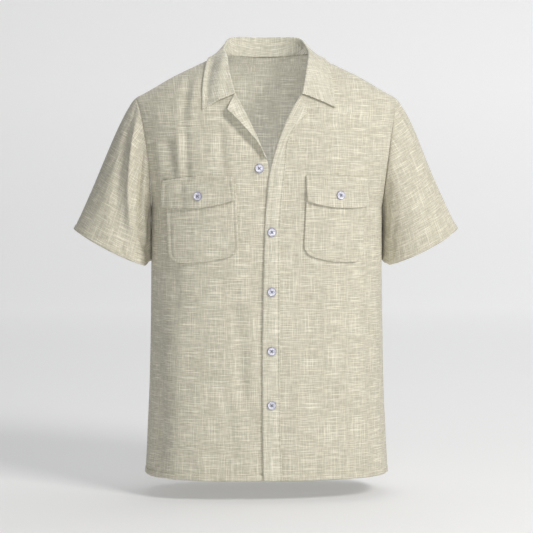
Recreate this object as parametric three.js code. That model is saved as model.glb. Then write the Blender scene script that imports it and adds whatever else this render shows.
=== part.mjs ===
// Camp shirt with short sleeves, an open collar and two flap pockets, filled out as if worn.
// Millimetres, +Z up. The front faces -Y and the wearer's left is +X.
// The origin lies midway between the two points where the collar seam meets the shoulder seams.
// Every cloth piece is a thin wall round a middle surface, and the hollow inside stays open.
import * as THREE from 'three';

// Cloth
const wall = 1.5;
const seamGap = 0.3;
const layerEase = 0.5; // flat facets bridge the round body, so a layer lies this much looser
const layerStep = wall + seamGap + layerEase; // from one layer's middle surface to the next

// Shoulders and armholes
const neckX = 79; // collar seam at the shoulder seam
const shoulderX = 226; // armhole at the shoulder seam
const shoulderSlope = 0.475;
const neckCrown = 18.8; // the ridge line goes on rising over the neck by these two
const neckCrownExtra = 7;
const napeY = 69; // collar seam at the centre back
const shoulderRound = 6; // the shoulder seam drops by this much more towards the armhole
const underarmX = 200.5;
const underarmZ = -265;
const armholeDepth = 60; // half the armhole from front to back
const armholeFlare = 1.8; // how late the armhole leans out on its way up
const shoulderZ = -shoulderSlope * (shoulderX - neckX) - shoulderRound;
const armMidZ = (underarmZ + shoulderZ) / 2;
const armHalf = (shoulderZ - underarmZ) / 2;
const hemZ = -728;

// The body's level sections are superellipses of this exponent
const roundness = 2.5;
const frontSlopeRound = 1.8; // how boxy the slope from chest or back to shoulder is
const backSlopeRound = 2.3;

const bodySections = [
  { z: -728, half: 211, front: 124, back: 122 },
  { z: -650, half: 207.5, front: 125, back: 122 },
  { z: -560, half: 204, front: 126, back: 116 },
  { z: -440, half: 201.5, front: 127, back: 112 },
  { z: -330, half: 200.5, front: 128, back: 117 },
  { z: -265, half: 200.5, front: 128, back: 122 },
  { z: -167, half: 200.5, front: 128, back: 124 },
];

// Soft folds: a trough where the depth is above 0, a ridge where it is below
const folds = [
  { face: 'front', x0: -150, z0: -95, x1: -166, z1: -205, width: 11, depth: 3 },
  { face: 'front', x0: -128, z0: -70, x1: -131, z1: -200, width: 12, depth: 2.5 },
  { face: 'front', x0: -80, z0: -130, x1: -76, z1: -205, width: 11, depth: 2 },
  { face: 'front', x0: -184, z0: -470, x1: -176, z1: -690, width: 15, depth: 5 },
  { face: 'front', x0: -44, z0: -450, x1: -38, z1: -620, width: 15, depth: 3 },
  { face: 'front', x0: -120, z0: -560, x1: -128, z1: -740, width: 22, depth: -3 },
  { face: 'front', x0: 168, z0: -400, x1: 178, z1: -640, width: 16, depth: 3 },
  { face: 'front', x0: 96, z0: -560, x1: 104, z1: -740, width: 22, depth: 2.5 },
  { face: 'front', x0: 140, z0: -90, x1: 158, z1: -200, width: 14, depth: 2.5 },
  { face: 'back', x0: -150, z0: -150, x1: -170, z1: -420, width: 18, depth: 4 },
  { face: 'back', x0: 146, z0: -140, x1: 168, z1: -400, width: 18, depth: 4.5 },
  { face: 'back', x0: -60, z0: -330, x1: -74, z1: -700, width: 24, depth: 4 },
  { face: 'back', x0: 70, z0: -360, x1: 62, z1: -720, width: 24, depth: 4 },
  { face: 'back', x0: 4, z0: -420, x1: -2, z1: -740, width: 26, depth: -4 },
];

// Front edges from the hem upwards, as seen from the front. Below the V each front reaches
// across the middle, and from the notch on it follows the neckline to the shoulder seam.
const leftEdge = [
  { x: -11.5, z: -728 },
  { x: -13.5, z: -600 },
  { x: -13.5, z: -400 },
  { x: -12.5, z: -305 },
  { x: -7, z: -220 },
  { x: -3.5, z: -204 },
  { x: 10, z: -160 },
  { x: 24.5, z: -124 },
  { x: 43, z: -88 },
  { x: 58, z: -66 },
  { x: 72, z: -33 },
  { x: 78, z: -10 },
  { x: neckX, z: 0 },
];
const rightEdge = [
  { x: -15, z: -728 },
  { x: -15, z: -238 },
  { x: 4.5, z: -216 },
  { x: 5.5, z: -200 },
  { x: 11, z: -177 },
  { x: 27, z: -143.5 },
  { x: 44, z: -109 },
  { x: 62, z: -70 },
  { x: 72, z: -35 },
  { x: 78, z: -10 },
  { x: neckX, z: 0 },
];
const underlapFrom = 20; // the right front dips under the left one between these two distances
const underlapTo = 46;

// Front band on the wearer's left front, its top turned out as the lapel. Inner and outer edge.
const bandRows = [
  { x0: -11.5, z0: -728, x1: 18.5, z1: -728 },
  { x0: -13.2, z0: -640, x1: 14.5, z1: -640 },
  { x0: -13.5, z0: -500, x1: 13.3, z1: -500 },
  { x0: -13.5, z0: -400, x1: 13.3, z1: -400 },
  { x0: -12.5, z0: -305, x1: 13.6, z1: -305 },
  { x0: -7, z0: -220, x1: 19.2, z1: -220 },
  { x0: -3.2, z0: -203, x1: 22.3, z1: -195 },
  { x0: 10.3, z0: -160, x1: 24.5, z1: -160 },
  { x0: 24.8, z0: -124, x1: 42, z1: -127 },
  { x0: 40, z0: -94, x1: 58, z1: -111 },
  { x0: 50.5, z0: -78, x1: 64, z1: -104.5 },
];

// Facing of the wearer's right front where the lapel is turned out. Roll line and outer edge.
const facingRows = [
  { x0: -9.2, z0: -181, x1: -12, z1: -178 },
  { x0: -18.5, z0: -161, x1: -22.5, z1: -156 },
  { x0: -27.5, z0: -142.5, x1: -35.5, z1: -141 },
  { x0: -37.5, z0: -122, x1: -50, z1: -125 },
  { x0: -48, z0: -100.5, x1: -64.5, z1: -110 },
  { x0: -61.5, z0: -72, x1: -73, z1: -102 },
];

// Pockets and flaps: inner and outer edge in x, and the heights of the top and bottom edges at
// their inner end, middle and outer end. The flap hides each pocket's mouth.
const pocketShapes = [
  {
    name: 'right',
    side: -1,
    flap: { inner: 67, outer: 180, top: [-211.4, -212, -219], bottom: [-252.8, -264.5, -264] },
    pocket: { inner: 62.5, outer: 172, top: [-224, -224, -228], bottom: [-344, -356, -356] },
  },
  {
    name: 'left',
    side: 1,
    flap: { inner: 57, outer: 163.5, top: [-210.3, -211, -213.5], bottom: [-252.3, -264, -261] },
    pocket: { inner: 56, outer: 160, top: [-222, -223, -225], bottom: [-344, -356, -355] },
  },
];
const pocketCorner = 15;

// Collar, one row for each section from notch to nape: seam and outer edge seen from above,
// and the roll line in full
const collarSections = [
  { seamX: 61, seamY: -100, rollX: 59, rollY: -106, rollZ: -71.5, edgeX: 112, edgeY: -101.5, fold: 1.2 },
  { seamX: 70, seamY: -75, rollX: 67.5, rollY: -80, rollZ: -36, edgeX: 110, edgeY: -78, fold: 1.5 },
  { seamX: 76, seamY: -47, rollX: 72, rollY: -50, rollZ: -11, edgeX: 106, edgeY: -48, fold: 1.7 },
  { seamX: 78.5, seamY: -20, rollX: 74.5, rollY: -21, rollZ: 1, edgeX: 102, edgeY: -21, fold: 2 },
  { seamX: 79, seamY: 2, rollX: 75, rollY: 3, rollZ: 7, edgeX: 99, edgeY: 5, fold: 2 },
  { seamX: 70, seamY: 34, rollX: 69, rollY: 32, rollZ: 14.5, edgeX: 87, edgeY: 47, fold: 2.2 },
  { seamX: 42, seamY: 59, rollX: 53.5, rollY: 57, rollZ: 28.5, edgeX: 60, edgeY: 79, fold: 2.4 },
  { seamX: 0, seamY: napeY, rollX: 0, rollY: 72, rollZ: 31, edgeX: 0, edgeY: 92, fold: 2.4 },
];
const collarLean = -3.5; // the open front of the collar sits this far towards the wearer's right
const collarFoot = wall + 2 * seamGap; // the stand starts this far above the body
const collarLift = 3.4; // outer edge above the body
const collarBulge = 3; // the fall rounds out by this much

// Sleeves
const cuffOuter = { x: 337, z: -303 };
const cuffInner = { x: 203, z: -369 };
const cuffDepth = 62; // half the cuff from front to back
const cuffSag = 5;
const cuffPull = 11; // the underarm seam draws the cuff's edge up by this much
// Directions in which the sleeve leaves the armhole and reaches the cuff, at its top and underarm
const leaveTop = { x: 0.78, z: -0.63 };
const leaveUnder = { x: 0.05, z: -1 };
const arriveTop = { x: 0.46, z: -0.888 };
const arriveUnder = { x: 0.03, z: -1 };
const leaveForward = 0.18;

// Buttons
const buttonRadius = 7.6;
const buttonThick = 2.4;
const buttonBevel = 0.6;
const buttonHole = 1.5; // before the bevel narrows it
const buttonHoleRing = 2.3;
const bandButtonX = 0;
const bandButtonHeights = [-305.5, -406.5, -507, -599];
const topButton = { x: -21, z: -198 };
const flapButtons = [
  { name: 'flap_button_right', x: -122.5, z: -244.5 },
  { name: 'flap_button_left', x: 115.5, z: -243 },
];

// How finely the walls are divided
const belowArmRows = 9;
const armholeStep = 15; // degrees
const frontColumns = 17;
const backColumns = 32;
const sleeveRows = 9;
const collarRows = 26;

const degree = Math.PI / 180;
const frontFace = -1;
const backFace = 1;
const mix = (a, b, t) => a + (b - a) * t;
const signedPower = (v, p) => Math.sign(v) * Math.abs(v) ** p;

function smooth(from, to, v) {
  const t = THREE.MathUtils.clamp((v - from) / (to - from), 0, 1);
  return t * t * (3 - 2 * t);
}

// Value of a column between a table's rows, which are sorted by their key column
function tableAt(rows, key, column, v) {
  const next = rows.findIndex((row) => row[key] >= v);
  if (next === 0) return rows[0][column];
  if (next < 0) return rows[rows.length - 1][column];
  const [a, b] = [rows[next - 1], rows[next]];
  return mix(a[column], b[column], (v - a[key]) / (b[key] - a[key]));
}

// Where a rising or falling function crosses a value
function solve(f, target, from, to) {
  let [low, high] = [from, to];
  const rising = f(to) > f(from);
  for (let i = 0; i < 40; i += 1) {
    const middle = (low + high) / 2;
    if (f(middle) < target === rising) low = middle;
    else high = middle;
  }
  return (low + high) / 2;
}

function ridgeZ(x) {
  const t = Math.abs(x) / neckX;
  const rounded = shoulderRound * smooth(150, shoulderX, Math.abs(x));
  if (t > 1) return -shoulderSlope * (Math.abs(x) - neckX) - rounded;
  return neckCrown * (1 - t * t) + neckCrownExtra * (1 - t * t) ** 2;
}

// Levels of the body: below -90 millimetres under the underarm, from -90 to 0 degrees up the
// armhole's lower half, from 0 to 90 degrees over the shoulder to its seam.
function levelZ(level) {
  if (level < -90) return underarmZ + level + 90;
  return armMidZ + armHalf * Math.sin(Math.min(level, 0) * degree);
}

// A level's section: a superellipse that passes its side edge, which is the side seam or armhole
function sectionAt(face, level) {
  const z = levelZ(level);
  const depth = tableAt(bodySections, 'z', face === frontFace ? 'front' : 'back', z);
  if (level <= -90) return { edgeX: tableAt(bodySections, 'z', 'half', z), depth, end: Math.PI / 2 };
  const rise = (1 + Math.sin(level * degree)) / 2;
  const edgeX = underarmX + (shoulderX - underarmX) * rise ** armholeFlare;
  const cut = (armholeDepth * Math.cos(Math.min(level, 0) * degree)) / depth;
  return { edgeX, depth, end: Math.acos(cut ** (roundness / 2)) };
}

// Point of the plain body at a share of the turn from the middle, 0, to the side edge, 1
function bodyPoint(face, level, turnShare) {
  const { edgeX, depth, end } = sectionAt(face, level);
  const p = 2 / roundness;
  const angle = turnShare * end;
  const x = edgeX * (signedPower(Math.sin(angle), p) / Math.sin(end) ** p);
  const y = depth * signedPower(Math.cos(angle), p);
  if (level <= 0) return new THREE.Vector3(x, face * y, levelZ(level));
  const boxy = face === frontFace ? frontSlopeRound : backSlopeRound;
  const k = 2 / mix(boxy, 2, smooth(neckX, edgeX, Math.abs(x)));
  const up = Math.sin(level * degree) ** k;
  const out = signedPower(Math.cos(level * degree), k);
  return new THREE.Vector3(x, face * y * out, armMidZ + (ridgeZ(x) - armMidZ) * up);
}

// Share of the turn at which a level passes a given x
function turnAt(face, level, x) {
  const { edgeX, end } = sectionAt(face, level);
  const s = Math.sin(end) * (Math.min(Math.abs(x), edgeX) / edgeX) ** (roundness / 2);
  return (Math.sign(x) * Math.asin(Math.min(s, 1))) / end;
}

function normalAt(face, level, turnShare) {
  const step = 0.004;
  const top = Math.min(level + 0.5, 90.5);
  const along = bodyPoint(face, level, turnShare + step).sub(bodyPoint(face, level, turnShare - step));
  const up = bodyPoint(face, top, turnShare).sub(bodyPoint(face, level - 0.5, turnShare));
  return along.cross(up).multiplyScalar(-face).normalize();
}

function foldDepth(face, point) {
  let depth = 0;
  for (const fold of folds) {
    if ((fold.face === 'front') !== (face === frontFace)) continue;
    const t = (point.z - fold.z0) / (fold.z1 - fold.z0);
    const x = mix(fold.x0, fold.x1, t);
    const ends = smooth(-0.25, 0.2, t) * (1 - smooth(0.8, 1.25, t));
    depth += fold.depth * ends * Math.exp(-(((point.x - x) / fold.width) ** 2));
  }
  return depth;
}

// Middle surface of a front or back, with its normal, moved out by a lift
function clothPoint(face, level, turnShare, lift = 0) {
  const base = bodyPoint(face, level, turnShare);
  const normal = normalAt(face, level, turnShare);
  const edge = smooth(1, 0.93, Math.abs(turnShare)) * smooth(90, 75, level);
  base.addScaledVector(normal, lift - foldDepth(face, base) * edge);
  return { point: base, normal };
}

// The same by its place seen from the front, or from above
function levelOnFront(x, z) {
  if (z <= underarmZ) return -90 - (underarmZ - z);
  return solve((level) => bodyPoint(frontFace, level, turnAt(frontFace, level, x)).z, z, -90, 90);
}

function layerPoint(x, z, lift) {
  const level = levelOnFront(x, z);
  return clothPoint(frontFace, level, turnAt(frontFace, level, x), lift);
}

function pointFromAbove(x, y, lift) {
  const face = y < 0 ? frontFace : backFace;
  const depth = (level) => Math.abs(bodyPoint(face, level, turnAt(face, level, x)).y);
  const level = solve(depth, Math.abs(y), 0, 90);
  return clothPoint(face, level, turnAt(face, level, x), lift);
}

// Wall round a grid of middle points. A ring's last column joins its first.
function wallMesh(name, grid, ring, material) {
  const rows = grid.length;
  const columns = grid[0].length;
  const positions = [];
  const index = [];
  for (const side of [1, -1]) {
    for (const row of grid) {
      for (const { point, normal } of row) {
        positions.push(...point.clone().addScaledVector(normal, (side * wall) / 2).toArray());
      }
    }
  }
  const at = (side, r, c) => side * rows * columns + r * columns + (c % columns);
  const quad = (a, b, c, d) => index.push(a, b, c, a, c, d);
  const lastColumn = ring ? columns : columns - 1;
  for (let r = 0; r < rows - 1; r += 1) {
    for (let c = 0; c < lastColumn; c += 1) {
      quad(at(0, r, c), at(0, r, c + 1), at(0, r + 1, c + 1), at(0, r + 1, c));
      quad(at(1, r, c), at(1, r + 1, c), at(1, r + 1, c + 1), at(1, r, c + 1));
    }
    if (ring) continue;
    quad(at(0, r, 0), at(0, r + 1, 0), at(1, r + 1, 0), at(1, r, 0));
    quad(at(0, r + 1, lastColumn), at(0, r, lastColumn), at(1, r, lastColumn), at(1, r + 1, lastColumn));
  }
  for (let c = 0; c < lastColumn; c += 1) {
    quad(at(0, 0, c + 1), at(0, 0, c), at(1, 0, c), at(1, 0, c + 1));
    quad(at(0, rows - 1, c), at(0, rows - 1, c + 1), at(1, rows - 1, c + 1), at(1, rows - 1, c));
  }
  if (signedVolume(positions, index) < 0) index.reverse();
  const geometry = new THREE.BufferGeometry();
  geometry.setAttribute('position', new THREE.Float32BufferAttribute(positions, 3));
  geometry.setIndex(index);
  const mesh = new THREE.Mesh(geometry, material);
  mesh.name = name;
  return mesh;
}

function signedVolume(positions, index) {
  const corner = (i) => new THREE.Vector3().fromArray(positions, index[i] * 3);
  let sum = 0;
  for (let i = 0; i < index.length; i += 3) sum += corner(i).dot(corner(i + 1).cross(corner(i + 2)));
  return sum;
}

// Pull a grid's edge back by half a seam gap, along the cloth
function drawIn(edge, next) {
  edge.forEach((spot, i) => {
    const back = next[i].point.clone().sub(spot.point).normalize();
    spot.point.addScaledVector(back, seamGap / 2);
  });
}

// Normals of a free grid, from its own neighbours. A ring wraps round its columns.
function withNormals(points, ring) {
  const rows = points.length;
  const columns = points[0].length;
  return points.map((row, r) => row.map((point, c) => {
    const left = ring ? (c + columns - 1) % columns : Math.max(c - 1, 0);
    const right = ring ? (c + 1) % columns : Math.min(c + 1, columns - 1);
    const along = row[right].clone().sub(row[left]);
    const up = points[Math.min(r + 1, rows - 1)][c].clone().sub(points[Math.max(r - 1, 0)][c]);
    return { point, normal: along.cross(up).normalize() };
  }));
}

// Shares of the turn that lie evenly along the cloth between two shares
function evenShares(face, level, from, to, count) {
  const samples = 48;
  const steps = Array.from({ length: samples + 1 }, (unused, i) => {
    const share = mix(from, to, i / samples);
    return { share, point: bodyPoint(face, level, share), run: 0 };
  });
  for (let i = 1; i <= samples; i += 1) {
    steps[i].run = steps[i - 1].run + steps[i].point.distanceTo(steps[i - 1].point);
  }
  const whole = steps[samples].run;
  return Array.from({ length: count + 1 }, (unused, i) => tableAt(steps, 'run', 'share', (whole * i) / count));
}

function bodyLevels() {
  const levels = [];
  const drop = underarmZ - hemZ;
  for (let i = 0; i < belowArmRows; i += 1) levels.push(-90 - drop * (1 - i / belowArmRows));
  for (let level = -90; level <= 90; level += armholeStep) levels.push(level);
  return levels;
}

// How far the right front lies inside the plain body where the left front laps over it
function underlapDip(x, level) {
  return layerStep * smooth(underlapTo, underlapFrom, -x) * smooth(-15, -30, level);
}

// A front panel: its inner edge follows the table, its outer edge the side seam and armhole
function frontGrid(side, edgeRows) {
  const edge = edgeRows.map(({ x, z }) => ({ x, level: levelOnFront(x, z) }));
  return bodyLevels().map((level) => {
    const inner = turnAt(frontFace, level, tableAt(edge, 'level', 'x', level));
    return evenShares(frontFace, level, inner, 1, frontColumns).map((share) => {
      const spot = clothPoint(frontFace, level, side * share);
      if (side > 0) return spot;
      spot.point.addScaledVector(spot.normal, -underlapDip(spot.point.x, level));
      return spot;
    });
  });
}

function drawInPanel(grid, innerToo) {
  const column = (c) => grid.map((row) => row.at(c));
  drawIn(grid.at(-1), grid.at(-2));
  drawIn(column(-1), column(-2));
  if (innerToo) drawIn(column(0), column(1));
}

// The back in one piece: its top row runs along the neckline and both shoulder seams
function backGrid() {
  const half = backColumns / 2;
  const neckColumns = Math.round(half * 0.36);
  const topLevels = Array.from({ length: half + 1 }, (unused, n) => {
    if (n >= neckColumns) return 90;
    const x = (neckX * n) / neckColumns;
    const y = napeY * Math.sqrt(1 - (x / neckX) ** 2);
    return solve((level) => bodyPoint(backFace, level, turnAt(backFace, level, x)).y, y, 0, 90);
  });
  return bodyLevels().map((level) => {
    const outer = evenShares(backFace, level, turnAt(backFace, level, neckX), 1, half - neckColumns);
    const row = [];
    for (let c = -half; c <= half; c += 1) {
      const n = Math.abs(c);
      const ownLevel = level > 0 ? level * (topLevels[n] / 90) : level;
      const x = (neckX * n) / neckColumns;
      const share = n < neckColumns ? turnAt(backFace, ownLevel, x) : outer[n - neckColumns];
      row.push(clothPoint(backFace, ownLevel, Math.sign(c) * share));
    }
    return row;
  });
}

// Sleeve: curves from the armhole ring to the cuff ring
function sleeveGrid(side) {
  const ring = [];
  for (let level = 90; level >= -90; level -= armholeStep) ring.push({ face: frontFace, level });
  for (let level = -90 + armholeStep; level < 90; level += armholeStep) ring.push({ face: backFace, level });
  const curves = ring.map(({ face, level }) => {
    const sin = Math.sin(level * degree);
    const cos = Math.cos(level * degree);
    const t = (1 + sin) / 2;
    const start = bodyPoint(face, level, 1);
    start.x += mix(wall + seamGap + 0.4, seamGap, smooth(-0.2, 1, sin));
    start.z -= mix(0, seamGap, smooth(0, 1, sin));
    const end = new THREE.Vector3(
      mix(cuffInner.x, cuffOuter.x, t),
      face * cuffDepth * cos,
      mix(cuffInner.z, cuffOuter.z, t) + cuffPull * (1 - smooth(0, 0.08, t)) - cuffSag * cos * cos,
    );
    const chord = start.distanceTo(end);
    const leave = new THREE.Vector3(
      mix(leaveUnder.x, leaveTop.x, t ** 0.8),
      face * leaveForward * cos,
      mix(leaveUnder.z, leaveTop.z, t),
    );
    const arrive = new THREE.Vector3(mix(arriveUnder.x, arriveTop.x, t), 0, mix(arriveUnder.z, arriveTop.z, t));
    const first = start.clone().addScaledVector(leave.normalize(), chord * mix(0.33, 0.13, t));
    const second = end.clone().addScaledVector(arrive, -chord * mix(0.33, 0.47, t));
    return new THREE.CubicBezierCurve3(start, first, second, end);
  });
  const points = [];
  for (let r = 0; r <= sleeveRows; r += 1) {
    const row = curves.map((curve) => curve.getPoint((r / sleeveRows) ** 1.25));
    row.forEach((point) => point.setX(point.x * side));
    points.push(row);
  }
  return withNormals(points, true);
}

// Collar: each section climbs from the seam to the roll line and falls to the outer edge
function collarGrid() {
  const rings = { seam: [], roll: [], edge: [] };
  const foldRadii = [];
  const half = collarSections.length - 1;
  for (let i = -half; i <= half; i += 1) {
    const side = i < 0 ? -1 : 1;
    const row = collarSections[half - Math.abs(i)];
    const lean = collarLean * smooth(0, -90, row.seamY);
    const seamX = side * row.seamX + lean;
    const edgeX = side * row.edgeX + lean;
    rings.seam.push(pointFromAbove(seamX, row.seamY, collarFoot).point);
    rings.roll.push(new THREE.Vector3(side * row.rollX + lean, row.rollY, row.rollZ));
    rings.edge.push(pointFromAbove(edgeX, row.edgeY, collarLift).point);
    foldRadii.push(new THREE.Vector3(row.fold, 0, 0));
  }
  const curve = (list) => new THREE.CatmullRomCurve3(list, false, 'centripetal');
  const [seam, roll, edge, fold] = [rings.seam, rings.roll, rings.edge, foldRadii].map(curve);
  const points = [];
  for (let r = 0; r <= collarRows; r += 1) {
    const t = r / collarRows;
    const foot = seam.getPoint(t);
    const top = roll.getPoint(t);
    const end = edge.getPoint(t);
    const radius = fold.getPoint(t).x;
    const out = end.clone().sub(top).setZ(0).normalize();
    const slope = end.clone().sub(top).normalize();
    const up = slope.clone().cross(out.clone().cross(slope)).normalize();
    if (up.z < 0) up.negate();
    const inner = top.clone().addScaledVector(out, -radius);
    const outer = top.clone().addScaledVector(out, radius);
    const belly = outer.clone().lerp(end, 0.45).addScaledVector(up, collarBulge);
    const fall = new THREE.QuadraticBezierCurve3(outer, belly, end);
    points.push([
      foot,
      foot.clone().lerp(inner, 0.5),
      inner,
      top.clone().addScaledVector(up, radius),
      ...[0, 0.2, 0.45, 0.72, 1].map((s) => fall.getPoint(s)),
    ]);
  }
  return withNormals(points, false);
}

// A strip that lies on the front, from rows of inner and outer edge
function stripGrid(rows, columns, lift) {
  return rows.map(({ x0, z0, x1, z1 }) => {
    const row = [];
    for (let c = 0; c <= columns; c += 1) {
      row.push(layerPoint(mix(x0, x1, c / columns), mix(z0, z1, c / columns), lift));
    }
    return row;
  });
}

// Height of an edge that passes three given heights at its inner end, middle and outer end
function bowedEdge([inner, middle, outer], t) {
  return inner * (1 - t) * (1 - 2 * t) + middle * 4 * t * (1 - t) + outer * t * (2 * t - 1);
}

// A pocket or flap between two bowed edges, with its lower corners rounded off
function patchGrid({ side, inner, outer, top, bottom, corner, lift }) {
  const columns = 10;
  const straightRows = 4;
  const span = top[1] - bottom[1];
  const rows = Array.from({ length: straightRows + 1 }, (unused, i) => (
    { up: mix(span, corner, i / straightRows), inset: 0 }
  ));
  for (const turn of corner > 0 ? [30, 60, 90] : []) {
    rows.push({
      up: corner * (1 - Math.sin(turn * degree)),
      inset: corner * (1 - Math.cos(turn * degree)),
    });
  }
  return rows.map(({ up, inset }) => {
    const row = [];
    for (let c = 0; c <= columns; c += 1) {
      const across = mix(inner + inset, outer - inset, c / columns);
      const t = (across - inner) / (outer - inner);
      const z = mix(bowedEdge(bottom, t), bowedEdge(top, t), up / span);
      row.push(layerPoint(side * across, z, lift));
    }
    return row;
  });
}

function circlePoints(radius, count, centre) {
  return Array.from({ length: count }, (unused, i) => {
    const angle = (i / count) * Math.PI * 2;
    return new THREE.Vector2(centre.x + radius * Math.cos(angle), centre.y + radius * Math.sin(angle));
  });
}

function buttonGeometry() {
  const middle = new THREE.Vector2(0, 0);
  const shape = new THREE.Shape(circlePoints(buttonRadius - buttonBevel, 20, middle));
  for (const angle of [45, 135, 225, 315]) {
    const centre = new THREE.Vector2(buttonHoleRing, 0).rotateAround(middle, angle * degree);
    shape.holes.push(new THREE.Path(circlePoints(buttonHole, 6, centre).reverse()));
  }
  const geometry = new THREE.ExtrudeGeometry(shape, {
    depth: buttonThick - 2 * buttonBevel,
    bevelThickness: buttonBevel,
    bevelSize: buttonBevel,
    bevelOffset: 0,
    bevelSegments: 1,
  });
  return geometry.translate(0, 0, buttonBevel - buttonThick / 2);
}

function button(name, x, z, layersBelow) {
  const mesh = new THREE.Mesh(buttonGeometry(), buttonMaterial);
  const lift = layersBelow * layerStep + wall / 2 + seamGap + buttonThick / 2;
  const { point, normal } = layerPoint(x, z, lift);
  mesh.position.copy(point);
  mesh.quaternion.setFromUnitVectors(new THREE.Vector3(0, 0, 1), normal);
  mesh.name = name;
  return mesh;
}

const clothMaterial = new THREE.MeshStandardMaterial({ color: 0xd2cbb2, roughness: 0.92, metalness: 0 });
const bandMaterial = new THREE.MeshStandardMaterial({ color: 0xcdc5ab, roughness: 0.92, metalness: 0 });
const collarMaterial = new THREE.MeshStandardMaterial({ color: 0xc8c1a6, roughness: 0.92, metalness: 0 });
const pocketMaterial = new THREE.MeshStandardMaterial({ color: 0xd6cfb7, roughness: 0.92, metalness: 0 });
const buttonMaterial = new THREE.MeshStandardMaterial({ color: 0xc9c7d2, roughness: 0.3, metalness: 0 });

const shirt = new THREE.Group();

const back = backGrid();
drawInPanel(back, true);
shirt.add(wallMesh('back', back, false, clothMaterial));

const frontLeft = frontGrid(1, leftEdge);
drawInPanel(frontLeft, false);
shirt.add(wallMesh('front_left', frontLeft, false, clothMaterial));

const frontRight = frontGrid(-1, rightEdge);
drawInPanel(frontRight, false);
shirt.add(wallMesh('front_right', frontRight, false, clothMaterial));

shirt.add(wallMesh('placket', stripGrid(bandRows, 3, layerStep), false, bandMaterial));
shirt.add(wallMesh('facing_right', stripGrid(facingRows, 2, layerStep), false, bandMaterial));

for (const [name, side] of [['sleeve_right', -1], ['sleeve_left', 1]]) {
  shirt.add(wallMesh(name, sleeveGrid(side), true, clothMaterial));
}

shirt.add(wallMesh('collar', collarGrid(), false, collarMaterial));

for (const { name, side, pocket, flap } of pocketShapes) {
  const pocketGrid = patchGrid({ side, ...pocket, corner: pocketCorner, lift: layerStep });
  shirt.add(wallMesh(`pocket_${name}`, pocketGrid, false, pocketMaterial));
  const flapGrid = patchGrid({ side, ...flap, corner: 0, lift: 2 * layerStep });
  shirt.add(wallMesh(`flap_${name}`, flapGrid, false, pocketMaterial));
}

shirt.add(button('button_1', topButton.x, topButton.z, 0));
bandButtonHeights.forEach((z, i) => shirt.add(button(`button_${i + 2}`, bandButtonX, z, 1)));
for (const { name, x, z } of flapButtons) shirt.add(button(name, x, z, 2));

export default shirt;
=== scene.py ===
import math

import bpy
import numpy as np
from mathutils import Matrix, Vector


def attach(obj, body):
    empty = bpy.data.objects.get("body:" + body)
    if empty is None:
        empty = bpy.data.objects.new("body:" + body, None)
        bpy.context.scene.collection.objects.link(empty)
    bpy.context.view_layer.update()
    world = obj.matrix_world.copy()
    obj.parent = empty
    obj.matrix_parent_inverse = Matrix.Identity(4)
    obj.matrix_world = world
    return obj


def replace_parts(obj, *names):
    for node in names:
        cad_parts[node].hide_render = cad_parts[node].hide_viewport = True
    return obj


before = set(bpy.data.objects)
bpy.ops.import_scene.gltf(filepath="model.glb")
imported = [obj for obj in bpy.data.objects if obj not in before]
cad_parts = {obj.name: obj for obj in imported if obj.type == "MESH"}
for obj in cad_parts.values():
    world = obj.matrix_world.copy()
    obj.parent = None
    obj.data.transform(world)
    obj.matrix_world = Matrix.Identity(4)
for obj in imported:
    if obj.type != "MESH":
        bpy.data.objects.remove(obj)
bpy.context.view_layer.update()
print("frame loaded,", len(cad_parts), "nodes")

# The cloth is worked out in millimetres on the frame's own axes: the front faces -Y and the
# wearer's left is +X. Grids hold rows of points, and each becomes a closed shell with two skins.
mm = 0.001
front, back = -1, 1

body = {
    "neckX": 79, "shoulderX": 226, "shoulderSlope": 0.475,
    "neckCrown": 18.8, "neckCrownExtra": 7, "napeY": 73, "shoulderRound": 6,
    "underarmX": 200.5, "underarmZ": -265, "armholeDepth": 60, "armholeFlare": 1.8,
    "hemZ": -728, "roundness": 2.5, "frontSlopeRound": 1.8, "backSlopeRound": 2.3,
    "grainLineX": 110, "grainStretch": 1.4,  # line up which the grain is measured, and above it
    "sectionZ": [-728, -650, -560, -440, -330, -265, -167],
    "half": [211, 207.5, 204, 201.5, 200.5, 200.5, 200.5],
    "frontDepth": [124, 125, 126, 127, 128, 128, 128],
    "backDepth": [122, 122, 116, 112, 117, 122, 124],
}
cloth = {
    "thick": 1.1,  # about twice as thick as real linen
    "layer": 2.2,  # from one layer's middle surface to the next one's
    "grid": 4.0, "gridFine": 1.3, "fineZone": 11,  # spacing of the points, and beside an edge
    "drift": 0.8,  # how far the cloth wanders from the smooth body
    "seamDip": 0.8, "seamWidth": 2.4, "grooveDepth": 0.75, "grooveWidth": 1.3,
    "pucker": 0.22, "puckerLength": 5.5, "puckerWidth": 6,  # small lumps beside a line of stitches
    "rimRound": 0.8,  # how far a rim bulges, as a share of half the wall
}
shoulderZ = -body["shoulderSlope"] * (body["shoulderX"] - body["neckX"]) - body["shoulderRound"]
armMidZ = (body["underarmZ"] + shoulderZ) / 2
armHalf = (shoulderZ - body["underarmZ"]) / 2

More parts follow.
